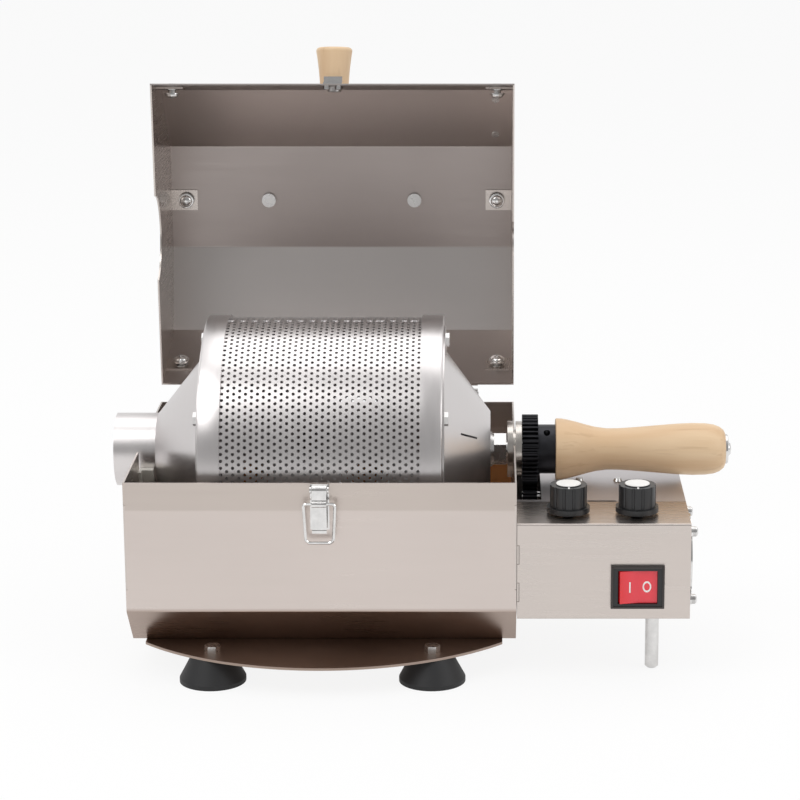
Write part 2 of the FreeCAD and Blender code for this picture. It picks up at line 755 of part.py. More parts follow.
def make_lid_cover():
    cover = folded(lid_profile(), s.steel, s.housing_width)
    front, lip, _ = facets()[0]
    crown_front, crown_rear, share = facets()[1]
    holes = lid_bolt_holes(-1) + lid_bolt_holes(1)
    for side in (-1, 1):
        stem = rod(0.0, 0.0, -3.0, s.crown_screw_head / 2, 6.0)
        holes.append(on_facet(stem, crown_front, crown_rear, share, 0.0, side * s.crown_screw))
        bolt = rod(side * s.keeper_width * KEEPER_RIVETS, s.keeper_bolt, -3.0, s.keeper_rivet, 6.0)
        holes.append(on_facet(bolt, front, lip, 0.0, 0.0, 0.0))
    for along in RIVETS:
        stem = rod(0.0, 0.0, -3.0, s.rivet_head, 6.0)
        holes.append(on_facet(stem, lip, crown_front, along, 0.0, plate_inside - s.rivet_inset))
    holes.append(on_facet(rod(0.0, 0.0, -3.0, s.knob_bolt, 6.0), front, lip, 0.5, 0.0, 0.0))
    keep_on_lid("lid_cover", cut(cover, *holes))


def lid_bolt_holes(side):
    x = side * (plate_inside - s.lid_bolt_inset)
    return [
        on_facet(rod(0.0, 0.0, -3.0, s.lid_bolt, 6.0), start, end, share, 0.0, x)
        for start, end, share in facets()
    ]


def make_lid_ends():
    for side, name, notch in ((-1, "left", s.neck_notch), (1, "right", s.bush_notch + s.free)):
        x = -half_width if side < 0 else plate_inside
        plate = side_plate(lid_profile(), s.steel, x)
        pieces = [plate]
        tab_x = x + s.steel if side < 0 else x - s.lid_tab_long
        for start, end, share in facets():
            tab = block(0.0, -s.lid_tab / 2, -s.steel, s.lid_tab_long, s.lid_tab, s.steel)
            pieces.append(on_facet(tab, start, end, share, 0.0, tab_x))
        hole = rod(x - 1, s.axis_back, -s.axis_drop, notch, s.steel + 2, "X")
        keep_on_lid(f"lid_end_{name}", cut(fused(*pieces), hole, *lid_bolt_holes(side)))


def make_lid_bolts():
    bolts = []
    for side in (-1, 1):
        x = side * (plate_inside - s.lid_bolt_inset)
        for start, end, share in facets():
            tab = s.steel
            shank = rod(0.0, 0.0, -tab, s.lid_bolt, tab * 2)
            nut = hexagon(0.0, 0.0, -tab - s.nut_high, s.foot_nut, s.nut_high)
            head = hexagon(0.0, 0.0, s.steel, s.foot_nut, 1.6)
            bolts.append(on_facet(fused(shank, nut, head), start, end, share, 0.0, x))
    return keep_on_lid("lid_bolts", group(*bolts))


def make_lid_screws():
    """Two round heads on the crown, and two small rivets beside the lip."""
    pieces = []
    front, lip, _ = facets()[0]
    crown_front, crown_rear, share = facets()[1]
    for side in (-1, 1):
        stem = rod(0.0, 0.0, 0.0, s.crown_screw_head * 0.5, s.steel)
        button = rod(0.0, 0.0, -2.4, s.crown_screw_head, 2.4)
        nut = hexagon(0.0, 0.0, s.steel, s.crown_screw_head * 1.8, 1.6)
        head = fused(stem, button, nut)
        pieces.append(on_facet(head, crown_front, crown_rear, share, 0.0, side * s.crown_screw))
    for along in RIVETS:
        rivet = rod(0.0, 0.0, -0.9, s.rivet_head, s.steel + 1.8)
        x = plate_inside - s.rivet_inset
        pieces.append(on_facet(rivet, lip, crown_front, along, 0.0, x))
    keep_on_lid("lid_screws", group(*pieces))


# Knob of turned wood on the lid's lip, with its screw, and the latch's keeper


def make_lid_knob():
    high, base, top = s.knob_high.number, s.knob_base.number, s.knob_top.number
    radii = [
        (0, base),
        (high * 0.45, base + (top - base) * 0.36),
        (high * 0.9, top),
        (high * 0.97, top - 0.5),
        (high, top - 1.6),
    ]
    wood = lathe(radii, [(-1, s.knob_bolt.number, 13)])
    wood.rotate(Vector(0, 0, 0), Vector(0, 1, 0), -90)
    screw = fused(rod(0.0, 0.0, -2.6, s.knob_bolt, 14.5 + s.steel), rod(0.0, 0.0, -2.6, 4.2, 2.6))
    start, end, _ = facets()[0]
    keep_on_lid("lid_knob", group(on_facet(shaped(wood), start, end, 0.5, s.steel, 0.0)))
    keep_on_lid("knob_screw", group(on_facet(screw, start, end, 0.5, 0.0, 0.0)))


def make_keeper():
    """The hook that the latch's bail pulls on, turned up from a plate riveted by the lip's rim."""
    wide, up = s.keeper_width, s.keeper_up
    foot = block(-wide / 2, 1.0, s.steel, wide, up, s.sheet)
    riser = block(-wide / 2, up, s.steel, wide, s.sheet, s.keeper_reach)
    hook = block(-wide / 2, up, s.steel + s.keeper_reach - s.sheet, wide, 3.4, s.sheet)
    rivets = []
    for side in (-1, 1):
        x = side * wide * KEEPER_RIVETS
        rivets.append(rod(x, s.keeper_bolt, 0.0, s.keeper_rivet, s.steel + s.sheet))
        rivets.append(hexagon(x, s.keeper_bolt, -2.4, s.keeper_rivet * 3, 2.4))
    front, lip, _ = facets()[0]
    keep_on_lid("latch_keeper", group(on_facet(fused(foot, riser, hook, *rivets), front, lip, 0.0, 0.0, 0.0)))


# Hinges: leaves on the two rear walls, joined by knuckles on a pin


def hinge_places():
    return [-s.hinge_space / 2, s.hinge_space / 2]


def make_hinges():
    long, third = s.hinge_long, s.hinge_long / 4
    back, r = s.housing_depth, s.knuckle
    lower, upper = [], []
    for x in hinge_places():
        low = parting - 1 - s.leaf_high
        plate = block(x - long / 2, back, low, long, s.leaf, s.leaf_high)
        shelf = block(x - long / 2, back, parting - 2.5, long, s.hinge_back + 1.5, 1.5)
        riser = block(x - long / 2, hinge_y - 1.5, parting - 2.5, long, 3.0, s.hinge_up + 1.0)
        barrel = rod(x - long / 2, hinge_y, parting + s.hinge_up, r, long, "X")
        middle = x - long / 4
        gap = block(middle - s.free, hinge_y - r - 4, parting - 0.6, long / 2 + s.free * 2, r * 2 + 8, r * 2 + 4)
        bore = rod(x - long / 2 - 1, hinge_y, parting + s.hinge_up, s.pin_radius, long + 2, "X")
        lower.append(cut(fused(plate, shelf, riser, barrel), gap, bore))
        lower.append(rod(x - long / 2 - 0.5, hinge_y, parting + s.hinge_up, s.pin_radius, long + 1, "X"))
        eye = rod(middle, hinge_y, s.hinge_up, r, long / 2, "X")
        arm_low = s.hinge_up + r - 1.6
        lean_back = s.housing_depth + s.lid_overhang + s.steel
        arm = block(middle, lean_back - 3, arm_low, long / 2, s.hinge_back + 1, 1.6)
        leaf_plate = block(-long / 2, 0.0, 0.0, long, s.leaf_high, s.leaf)
        start, end = lid_profile()[1], lid_profile()[0]
        leaf_plate = on_facet(leaf_plate, end, start, 0.02, -s.steel - s.leaf, x)
        hole = rod(middle - 1, hinge_y, s.hinge_up, s.pin_radius + s.running, long / 2 + 2, "X")
        trim = side_trim(middle, long / 2)
        upper.append(cut(fused(leaf_plate, arm, eye), hole, trim))
    keep_on_housing("hinge_leaves_lower", group(*lower))
    keep_on_lid("hinge_leaves_upper", group(*upper))


def side_trim(x, width):
    """What lies inside the lid's rear wall, which the hinge arm must not enter."""
    rear, shoulder = lid_profile()[0], lid_profile()[1]
    inside = [(rear[0] - 30, rear[1] - 5), (rear[0], rear[1] - 5), rear, shoulder, (shoulder[0] - 30, shoulder[1])]
    skin = doc.addObject("Part::Offset2D", "InsideOfWall")
    skin.Source = side_sketch(inside, True)
    skin.Join = "Intersection"
    bind(skin, "Value", s.steel)
    return settle(extruded(skin, width + 60, centred=False), x - 30)


# Latch: a riveted plate, a lever that hangs from its roll, and a wire bail


def make_latch():
    wide, long, roll = s.latch_width, s.latch_length, s.latch_roll
    top = parting - 0.4
    pivot_z = top - roll
    pivot_y = -s.sheet - roll - s.free
    plate = block(-wide / 2, -s.sheet, top - long, wide, s.sheet, long)
    ears = []
    for side in (-1, 1):
        x = side * (wide / 2 - s.sheet / 2) - s.sheet / 2
        arm = block(x, pivot_y, pivot_z - 1.6, s.sheet, -pivot_y, 3.2)
        eye = rod(x, pivot_y, pivot_z, 1.9, s.sheet, "X")
        ears.append(fused(arm, eye))
    pin = rod(-wide / 2, pivot_y, pivot_z, 0.9, wide, "X")
    keep_on_housing("latch_plate", fused(plate, *ears, pin))
    inner = wide - s.sheet * 2 - s.free * 2
    sleeve = cut(
        rod(-inner / 2, pivot_y, pivot_z, roll, inner, "X"),
        rod(-inner / 2 - 1, pivot_y, pivot_z, 0.9 + s.running, inner + 2, "X"),
    )
    strap_y = pivot_y - roll
    strap = block(-inner / 2, strap_y, pivot_z - s.lever_length, inner, s.sheet, s.lever_length)
    tip = block(-inner / 2, strap_y - 0.8, pivot_z - s.lever_length - 0.8, inner, s.sheet + 0.8, 1.6)
    bail_z = pivot_z - s.bail_drop
    barrel = cut(
        rod(-inner / 2, strap_y - 0.5, bail_z, 2.0, inner, "X"),
        rod(-inner / 2 - 1, strap_y - 0.5, bail_z, s.bail_wire + s.running, inner + 2, "X"),
    )
    channel = rod(-inner / 2 - 1, strap_y - 0.5, bail_z, s.bail_wire + s.running, inner + 2, "X")
    keep_on_housing("latch_lever", cut(fused(sleeve, strap, tip, barrel), channel))
    make_bail(strap_y - 0.5, bail_z)


def make_bail(y, z):
    """A closed loop of wire that hangs from the lever."""
    half, long, wire = s.bail_width.number / 2 - 0.9, s.bail_length.number, s.bail_wire.number
    corner = 3.0
    taper_in = 1.2
    top_corner = 1.6
    y, z = plain(y), plain(z)
    low = z - long + wire

    def at(x, height):
        return Vector(x, y, height)

    path = rounded_path(
        [at(-half, z), at(half, z), at(half - taper_in, low), at(-half + taper_in, low)],
        [top_corner, top_corner, corner, corner],
    )
    start = path.Vertexes[0].Point
    along = path.Edges[0].tangentAt(path.Edges[0].FirstParameter)
    side = along.cross(Vector(0, 1, 0)).normalize()
    turns = [math.radians(22.5 + 45 * number) for number in range(9)]
    corners = [start + side * (wire * math.cos(t)) + Vector(0, wire * math.sin(t), 0) for t in turns]
    loop = path.makePipeShell([Part.makePolygon(corners)], True, False)
    keep_on_housing("latch_bail", group(shaped(loop)))


def rounded_path(points, radii):
    """A closed wire of straight runs joined by tangent arcs."""
    edges = []
    ends = []
    count = len(points)
    for i, (corner, radius) in enumerate(zip(points, radii)):
        before = (points[i - 1] - corner).normalize()
        after = (points[(i + 1) % count] - corner).normalize()
        half_angle = before.getAngle(after) / 2
        back = radius / math.tan(half_angle)
        middle = (before + after).normalize()
        centre = corner + middle * (radius / math.sin(half_angle))
        ends.append((corner + before * back, centre - middle * radius, corner + after * back))
    for i, (first, middle, last) in enumerate(ends):
        edges.append(Part.Arc(first, middle, last).toShape())
        edges.append(Part.makeLine(last, ends[(i + 1) % count][0]))
    return Part.Wire(Part.__sortEdges__(edges))


# Heaters under the drum


def make_heaters():
    rods, holders = [], []
    z = bevel_floor + s.steel + s.heater_up
    for y in (s.heater_in, s.housing_depth - s.heater_in):
        rods.append(rod(-heater_length / 2, y, z, s.heater_radius, heater_length, "X"))
        for side in (-1, 1):
            x = side * (heater_length / 2 + 6) - 8
            shoe = block(x, y - s.holder / 2, bevel_floor + s.steel, 16.0, s.holder, s.heater_up + s.heater_radius + 3)
            hole = rod(-heater_length / 2, y, z, s.heater_radius, heater_length, "X")
            holders.append(cut(shoe, hole))
    keep_on_housing("heater_rods", group(*rods))
    keep_on_housing("heater_holders", group(*holders))


def make_reflector():
    """The copper-coloured sheet between the rear heater and the rear wall."""
    back = s.housing_depth - s.steel - 2.5
    low = parting - s.front_height + 4
    wide = s.housing_width - s.steel * 2 - s.free * 2
    sheet_metal = block(-wide / 2, back, low, wide, s.sheet, s.reflector_high)
    spacers = [
        rod(side * wide * 0.36, back + s.sheet, low + 12, 3.0, s.housing_depth - s.steel - back - s.sheet, "Y")
        for side in (-1, 1)
    ]
    keep_on_housing("heat_reflector", fused(sheet_metal, *spacers))


# Control box, drawn from its left side


def make_control_box():
    wall, back, low, high = s.steel, s.box_depth, s.box_floor, box_top
    profile = [
        (s.box_lip, high - wall),
        (wall, high - wall),
        (wall, low + wall),
        (back - wall - s.free, low + wall),
    ]
    front = folded(profile, wall, s.box_width, centred=False)
    window_x = switch_x - s.switch_width / 2
    window_z = low + s.switch_up - s.switch_high / 2
    window = block(window_x, -5.0, window_z, s.switch_width, 12.0, s.switch_high)
    holes = [rod(x, s.knob_y, high - 5, s.pot_bush, 10.0) for x in dial_places()]
    holes.append(rod(leg_x, s.leg_y, low - 5, s.leg_radius * 0.6, 10.0))
    holes += [rod(x, y, low - 5, s.box_screw, 10.0) for x, y in bracket_screws()]
    slots = [
        block(0.0 - s.free, -1.0, z - s.free, wall + s.free * 2, wall + 1, s.box_tab + s.free * 2)
        for z in box_tabs()
    ]
    keep_on_box("control_box", cut(front, window, *holes, *slots))


def box_tabs():
    return [s.box_floor + s.box_tab_up, s.box_floor + s.box_tab_up + s.box_tab_space]


def dial_places():
    right = s.box_width - s.knob_x
    return [right - s.knob_space, right]


def make_box_panels():
    wall, back, low, high = s.steel, s.box_depth, s.box_floor, box_top
    gap = s.free
    profile = [(back - wall, low), (back - wall, high - wall), (s.box_lip + gap, high - wall)]
    cover = folded(profile, wall, s.box_width, centred=False)
    mouth = block(-1.0, s.opening_front, high - 5, s.opening_width + 1, s.opening_rear - s.opening_front, 10.0)
    holes = [rod(x, s.cover_screw_y, high - 5, s.box_screw, 10.0) for x in cover_screws()]
    inlet = block(
        inlet_x - s.inlet_width / 2, back - 6, low + s.box_height / 2 - s.inlet_high / 2,
        s.inlet_width, 12.0, s.inlet_high,
    )
    finger = block(cover_screw_x - 8.5, s.box_lip + gap - 1, high - 5, 17.0, 3.2, 10.0)
    keep_on_box("box_cover", cut(cover, mouth, inlet, finger, *holes))
    inside = [
        (wall, low + wall), (back - wall, low + wall), (back - wall, high - wall), (wall, high - wall),
    ]
    tabs = [block(0.0, 0.0, z, wall, wall, s.box_tab) for z in box_tabs()]
    left = fused(side_plate(inside, wall, 0.0), *tabs)
    gear_gap = block(-1.0, s.opening_front + 4, pinion_z - 14, 4.0, s.opening_rear - s.opening_front - 8, 60.0)
    keep_on_box("box_side_left", cut(left, gear_gap))
    right = side_plate(inside, wall, s.box_width - wall)
    bore = rod(s.box_width - wall - 2, s.fan_y, low + s.fan_up, s.fan_bore, 5.0, "X")
    fan_holes = [
        rod(s.box_width - wall - 2, y, z, s.box_screw, 5.0, "X") for y, z in fan_screw_places()
    ]
    flange = block(s.box_width - wall - 8, back * 0.62, low + wall, 8.0, 20.0, wall)
    keep_on_box("box_side_right", cut(fused(right, flange), bore, *fan_holes))


def cover_screws():
    return [cover_screw_x - s.cover_screw_space / 2, cover_screw_x + s.cover_screw_space / 2]


def make_box_screws():
    screws = []
    for x in cover_screws():
        shank = rod(x, s.cover_screw_y, box_top - 7, s.box_screw, 7.0)
        screws.append(fused(shank, taper(x, s.cover_screw_y, box_top, s.box_screw * 2, s.box_screw * 1.4, 1.6)))
    for x, y in bracket_screws():
        shank = rod(x, y, s.box_floor - 0.4, s.box_screw, 7.0)
        screws.append(fused(shank, rod(x, y, s.box_floor - 1.8, s.box_screw * 2, 1.8)))
    keep_on_box("box_screws", group(*screws))


def make_leg():
    low, r = s.box_floor, s.leg_radius
    rod_part = rod(leg_x, s.leg_y, 1.2, r, low - 1.2)
    toe = taper(leg_x, s.leg_y, 0.0, r * 0.7, r, 1.2)
    stud = rod(leg_x, s.leg_y, low, r * 0.6, s.steel + 5)
    nut = hexagon(leg_x, s.leg_y, low + s.steel, s.leg_nut, 3.2)
    keep_on_box("support_leg", fused(rod_part, toe, stud, nut))


def motor_start():
    """The motor bracket's face toward the gear, from the box's left side."""
    return gear_start - s.drum_shift - box_left + s.gear_width + 3.5


def bracket_screws():
    x = motor_start() + s.bracket_foot
    return [(x, s.axis_back + side * s.bracket_width / 3) for side in (-1, 1)]


def make_motor():
    start = motor_start()
    y, z = s.axis_back, pinion_z
    face = start + s.bracket_thick
    top = z + s.gearbox_over
    case = block(face, y - s.gearbox_wide / 2, top - s.gearbox_high, s.gearbox_long, s.gearbox_wide, s.gearbox_high)
    can = fused(
        rod(face + s.gearbox_long, y, z - s.can_drop, s.can_radius, s.can_long, "X"),
        rod(face + s.gearbox_long + s.can_long, y, z - s.can_drop, s.can_radius * 0.3, 2.5, "X"),
    )
    hole = rod(face - 1, y, z, s.motor_shaft + s.running, 14.0, "X")
    keep_on_box("gear_motor", group(cut(case, hole), can))
    low = s.box_floor + s.steel
    wide = s.bracket_width
    plate = block(start, y - wide / 2, low, s.bracket_thick, wide, box_top - s.steel - 3 - low)
    foot = block(start, y - wide / 2, low, s.bracket_foot + 6, wide, s.bracket_thick)
    opening = rod(start - 1, y, z, s.motor_shaft + 3, s.bracket_thick + 2, "X")
    holes = [rod(a, b, low - 1, s.box_screw, 4.0) for a, b in bracket_screws()]
    keep_on_box("motor_bracket", cut(fused(plate, foot), opening, *holes))
    pinion_x = gear_start - s.drum_shift - box_left
    keep_on_box("motor_shaft", group(rod(pinion_x, y, z, s.motor_shaft, face + 11 - pinion_x, "X")))


def make_dials():
    pots = []
    for x in dial_places():
        under = box_top - s.steel
        can = rod(x, s.knob_y, under - s.pot_high, s.pot_radius, s.pot_high)
        neck = rod(x, s.knob_y, under, s.pot_bush, s.steel + 1.2)
        bore = rod(x, s.knob_y, under - s.pot_high + 2, s.dial_shaft + s.running, 20.0)
        lugs = block(x - 5, s.knob_y + 4, under - 4, 10.0, 9.0, 1.2)
        pots.append(cut(fused(can, neck, lugs), bore))
    keep_on_box("potentiometers", group(*pots))
    for x, name in zip(dial_places(), ("left", "right")):
        keep_on_box(f"knob_{name}", group(*dial_solids(x)))


def dial_solids(x):
    """A fluted control knob on its shaft, with a bright cap let into its top."""
    y = s.knob_y
    low = box_top + s.free + 1.4
    skirt = rod(x, y, low, s.dial_skirt, s.dial_skirt_high)
    body = rod(x, y, low + s.dial_skirt_high, s.dial_radius, s.dial_high - s.dial_skirt_high)
    flutes = []
    for number in range(sheet_count("dial_flutes")):
        angle = 2 * math.pi * (number + 0.5) / sheet_count("dial_flutes")
        reach = s.dial_radius + 0.4
        side, back = reach * math.cos(angle), reach * math.sin(angle)
        flutes.append(rod(x + side, y + back, low + s.dial_skirt_high + 0.7, 1.0, s.dial_high))
    top = low + s.dial_high
    pocket = rod(x, y, top - 0.8, s.dial_cap, 2.0)
    under = rod(x, y, low - 1, s.pot_bush + s.free, 1 + s.free)
    shaft_hole = rod(x, y, low - 1, s.dial_shaft, 10.0)
    grip = cut(fused(skirt, body), pocket, under, shaft_hole, *flutes)
    cap = rod(x, y, top - 0.8, s.dial_cap, 1.2)
    shaft = rod(x, y, box_top - s.steel - s.pot_high + 2.5, s.dial_shaft, low + 9 - box_top + s.steel + s.pot_high - 2.5)
    return grip, cap, shaft


def make_switch():
    x, z = switch_x, s.box_floor + s.switch_up
    bezel = block(x - s.bezel_width / 2, -s.bezel_thick, z - s.bezel_high / 2, s.bezel_width, s.bezel_thick, s.bezel_high)
    body = block(x - s.switch_width / 2, 0.0, z - s.switch_high / 2, s.switch_width, s.switch_deep, s.switch_high)
    room_x = s.rocker_width + s.free * 2
    room_z = s.rocker_high + s.free * 2
    room = block(x - room_x / 2, -s.bezel_thick - 1, z - room_z / 2, room_x, 13.0, room_z)
    blades = [block(x + side * 7 - 3, s.switch_deep, z - 0.4, 6.0, 7.0, 0.8) for side in (-1, 1)]
    pin = rod(x, 2.5, z - room_z / 2, 1.0, room_z)
    keep_on_box("switch_body", fused(cut(fused(bezel, body), room), pin, *blades))
    keep_on_box("switch_rocker", make_rocker(x, z))


def make_rocker(x, z):
    """The rocker's faces meet in a shallow ridge on its pin: the right half is pressed in."""
    half, high = s.rocker_width / 2 - 0.3, s.rocker_high
    low = z - high / 2
    lean = s.rocker_angle
    profile = doc.addObject("Sketcher::SketchObject", "RockerOutline")
    points = [
        (-half, -4.2), (0.0, -3.0), (half, -4.2), (half, 0.5), (3.0, 7.0), (-3.0, 7.0), (-half, 0.5),
    ]
    draw(profile, points, True)
    prism = extruded(profile, high, Vector(0, 0, 1), centred=False)
    settle(prism, 0.0, 0.0, 0.0)
    hole = rod(0.0, 0.0, -1.0, 1.0 + s.running, high + 2)
    return group(settle(cut(prism, hole), x, 2.5, low, (Vector(0, 0, 1), lean)))


def make_inlet():
    x, z, back = inlet_x, s.box_floor + s.box_height / 2, s.box_depth
    flange = block(x - s.inlet_width / 2 - 4, back, z - s.inlet_high / 2 - 2, s.inlet_width + 8, 2.5, s.inlet_high + 4)
    body = block(x - s.inlet_width / 2, back - s.inlet_deep, z - s.inlet_high / 2, s.inlet_width, s.inlet_deep, s.inlet_high)
    socket = block(x - s.inlet_width / 2 + 2, back - s.inlet_deep + 2, z - s.inlet_high / 2 + 2,
                   s.inlet_width - 4, s.inlet_deep + 2, s.inlet_high - 4)
    prongs = [block(x + dx - 1, back - s.inlet_deep, z + dz - 2, 2.0, s.inlet_deep - 2, 4.0)
              for dx, dz in ((-7, -1.5), (0, 2), (7, -1.5))]
    keep_on_box("power_inlet", fused(cut(fused(flange, body), socket), *prongs))


def fan_screw_places():
    low, half = s.box_floor + s.fan_up, s.fan_space / 2
    return [(s.fan_y + a * half, low + b * half) for a in (-1, 1) for b in (-1, 1)]


def make_fan():
    x = s.box_width - s.steel - s.fan_thick
    y, z, size = s.fan_y, s.box_floor + s.fan_up, s.fan_size
    case = block(x, y - size / 2, z - size / 2, s.fan_thick, size, size)
    bore = rod(x - 1, y, z, s.fan_bore, s.fan_thick + 2, "X")
    holes = [rod(x - 1, a, b, s.box_screw, s.fan_thick + 2, "X") for a, b in fan_screw_places()]
    bars = [
        block(x, y - s.fan_bore - 1, z - 1.5, 1.6, s.fan_bore * 2 + 2, 3.0),
        block(x, y - 1.5, z - s.fan_bore - 1, 1.6, 3.0, s.fan_bore * 2 + 2),
        rod(x, y, z, s.fan_hub, 1.6, "X"),
        rod(x, y, z, 1.5, 8.0, "X"),
    ]
    keep_on_box("fan_frame", fused(cut(case, bore, *holes), *bars))
    keep_on_box("fan_rotor", fan_rotor(x + 1.6 + s.free * 2, y, z))
    keep_on_box("fan_guard", fan_guard(y, z))
    over = s.box_width + s.guard_wire * 2
    screws = [
        fused(rod(x + 2, a, b, s.box_screw, over - x - 2, "X"), rod(over, a, b, 2.9, 2.0, "X"))
        for a, b in fan_screw_places()
    ]
    keep_on_box("fan_screws", group(*screws))


def fan_guard(y, z):
    """Rings of wire across the fan's mouth, on two bars that end in the screws' eyes."""
    wire, face = s.guard_wire, s.box_width
    rings = [
        cut(
            rod(face, y, z, s.fan_bore * share + wire, wire * 2, "X"),
            rod(face - 1, y, z, s.fan_bore * share - wire, wire * 2 + 2, "X"),
        )
        for share in (0.35, 0.7, 1.03)
    ]
    reach = s.fan_space / math.sqrt(2)
    bars = []
    for angle in (45.0, 135.0):
        bar = group(block(0.0, -wire, -reach, wire * 2, wire * 2, reach * 2))
        bars.append(settle(bar, face, y, z, (Vector(1, 0, 0), angle)))
    eyes = [rod(face, a, b, 3.2, wire * 2, "X") for a, b in fan_screw_places()]
    holes = [rod(face - 1, a, b, s.box_screw, wire * 2 + 2, "X") for a, b in fan_screw_places()]
    return cut(fused(*rings, *bars, *eyes), *holes)


def fan_rotor(x, y, z):
    long = s.fan_thick - 4
    hub = cut(rod(x, y, z, s.fan_hub - 0.5, long, "X"), rod(x - 1, y, z, 1.5 + s.running, 7.5, "X"))
    blades = []
    count = sheet_count("fan_blades")
    for number in range(count):
        blade = block(-long / 2, -0.6, s.fan_hub - 2, long, 1.2, s.fan_bore - s.fan_hub + 1.2)
        settle(blade, -long / 2, -0.6, s.fan_hub - 2)
        pitched = settle(group(blade), 0.0, 0.0, 0.0, (Vector(0, 0, 1), 32.0))
        blades.append(
            settle(group(pitched), x + long / 2, y, z, (Vector(1, 0, 0), 360.0 * number / count))
        )
    return fused(hub, *blades)


def make_board():
    """The speed and heat controller, on four posts on the box's floor."""
    low = s.box_floor + s.steel
    x, y, wide, deep = 16.0, 6.0, 34.0, 40.0
    board = block(x, y, low + 5, wide, deep, 1.6)
    posts = [rod(x + a, y + b, low, 2.0, 5.0) for a in (4, wide - 4) for b in (4, deep - 4)]
    sink = block(x + 4, y + 8, low + 6.6, 5.0, 24.0, 18.0)
    choke = rod(x + 22, y + 14, low + 6.6, 7.0, 9.0)
    keep_on_box("control_board", fused(board, *posts, sink, choke))


MAKERS = [
    make_housing_shell, make_housing_ends, make_base_plate, make_feet, make_drum_mesh, make_rings, make_cones,
    make_cone_screws, make_vanes, make_shaft, make_bush, make_gears, make_handle, make_saddle, make_lid_cover,
    make_lid_ends, make_lid_bolts, make_lid_screws, make_lid_knob, make_keeper, make_hinges, make_latch,
    make_heaters, make_reflector, make_control_box, make_box_panels, make_box_screws, make_leg, make_motor,
    make_dials, make_switch, make_inlet, make_fan, make_board,
]


def check_and_write():
    failed = [f"{thing.Label}: {thing.State}" for thing in doc.Objects
              if {"Invalid", "Error"} & set(thing.State)]
    for label, thing in nodes.items():
        if thing.Shape.isNull() or not thing.Shape.isValid() or not thing.Shape.Solids:
            failed.append(f"{label}: bad shape")
    if failed:
        raise RuntimeError("; ".join(failed))
    os.makedirs("parts", exist_ok=True)
    for label, thing in nodes.items():
        thing.Shape.exportStep(f"parts/{label}.step")
    print(len(nodes), "nodes,", sum(len(thing.Shape.Solids) for thing in nodes.values()), "solids")


for make in MAKERS:
    make()
doc.recompute()
check_and_write()
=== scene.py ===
import json
import math
import bpy
from mathutils import Matrix, Vector


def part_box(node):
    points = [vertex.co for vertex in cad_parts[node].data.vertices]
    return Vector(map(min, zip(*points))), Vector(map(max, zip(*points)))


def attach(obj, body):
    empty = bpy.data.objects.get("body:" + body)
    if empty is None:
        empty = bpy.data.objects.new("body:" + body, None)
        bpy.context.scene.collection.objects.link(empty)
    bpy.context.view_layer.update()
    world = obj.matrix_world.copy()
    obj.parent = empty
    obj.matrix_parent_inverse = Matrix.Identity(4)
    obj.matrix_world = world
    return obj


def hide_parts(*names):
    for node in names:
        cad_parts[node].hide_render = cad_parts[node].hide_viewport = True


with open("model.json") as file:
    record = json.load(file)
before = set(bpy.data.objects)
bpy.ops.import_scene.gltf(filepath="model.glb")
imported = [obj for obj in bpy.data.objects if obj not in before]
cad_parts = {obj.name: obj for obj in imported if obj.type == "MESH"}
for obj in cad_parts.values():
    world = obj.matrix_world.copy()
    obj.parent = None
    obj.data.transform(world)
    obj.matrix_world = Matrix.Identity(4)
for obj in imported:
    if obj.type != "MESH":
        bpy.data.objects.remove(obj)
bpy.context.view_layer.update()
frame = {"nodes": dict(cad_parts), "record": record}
nodes = frame["nodes"]
bpy.ops.object.select_all(action="DESELECT")
print("frame loaded:", len(nodes), "nodes")

mm = 0.001


# Shader values that take Python's own signs

class Reckon:
    def __init__(self, finish, socket):
        self.finish = finish
        self.socket = socket

    def sum(self, operation, first, second):
        return self.finish.add("Math", {"operation": operation}, {0: first, 1: second})

    def __add__(self, other):
        return self.sum("ADD", self, other)

    def __radd__(self, other):
        return self.sum("ADD", other, self)

    def __sub__(self, other):
        return self.sum("SUBTRACT", self, other)

    def __rsub__(self, other):
        return self.sum("SUBTRACT", other, self)

    def __mul__(self, other):
        return self.sum("MULTIPLY", self, other)

    def __rmul__(self, other):
        return self.sum("MULTIPLY", other, self)

    def __pow__(self, other):
        return self.sum("POWER", self, other)


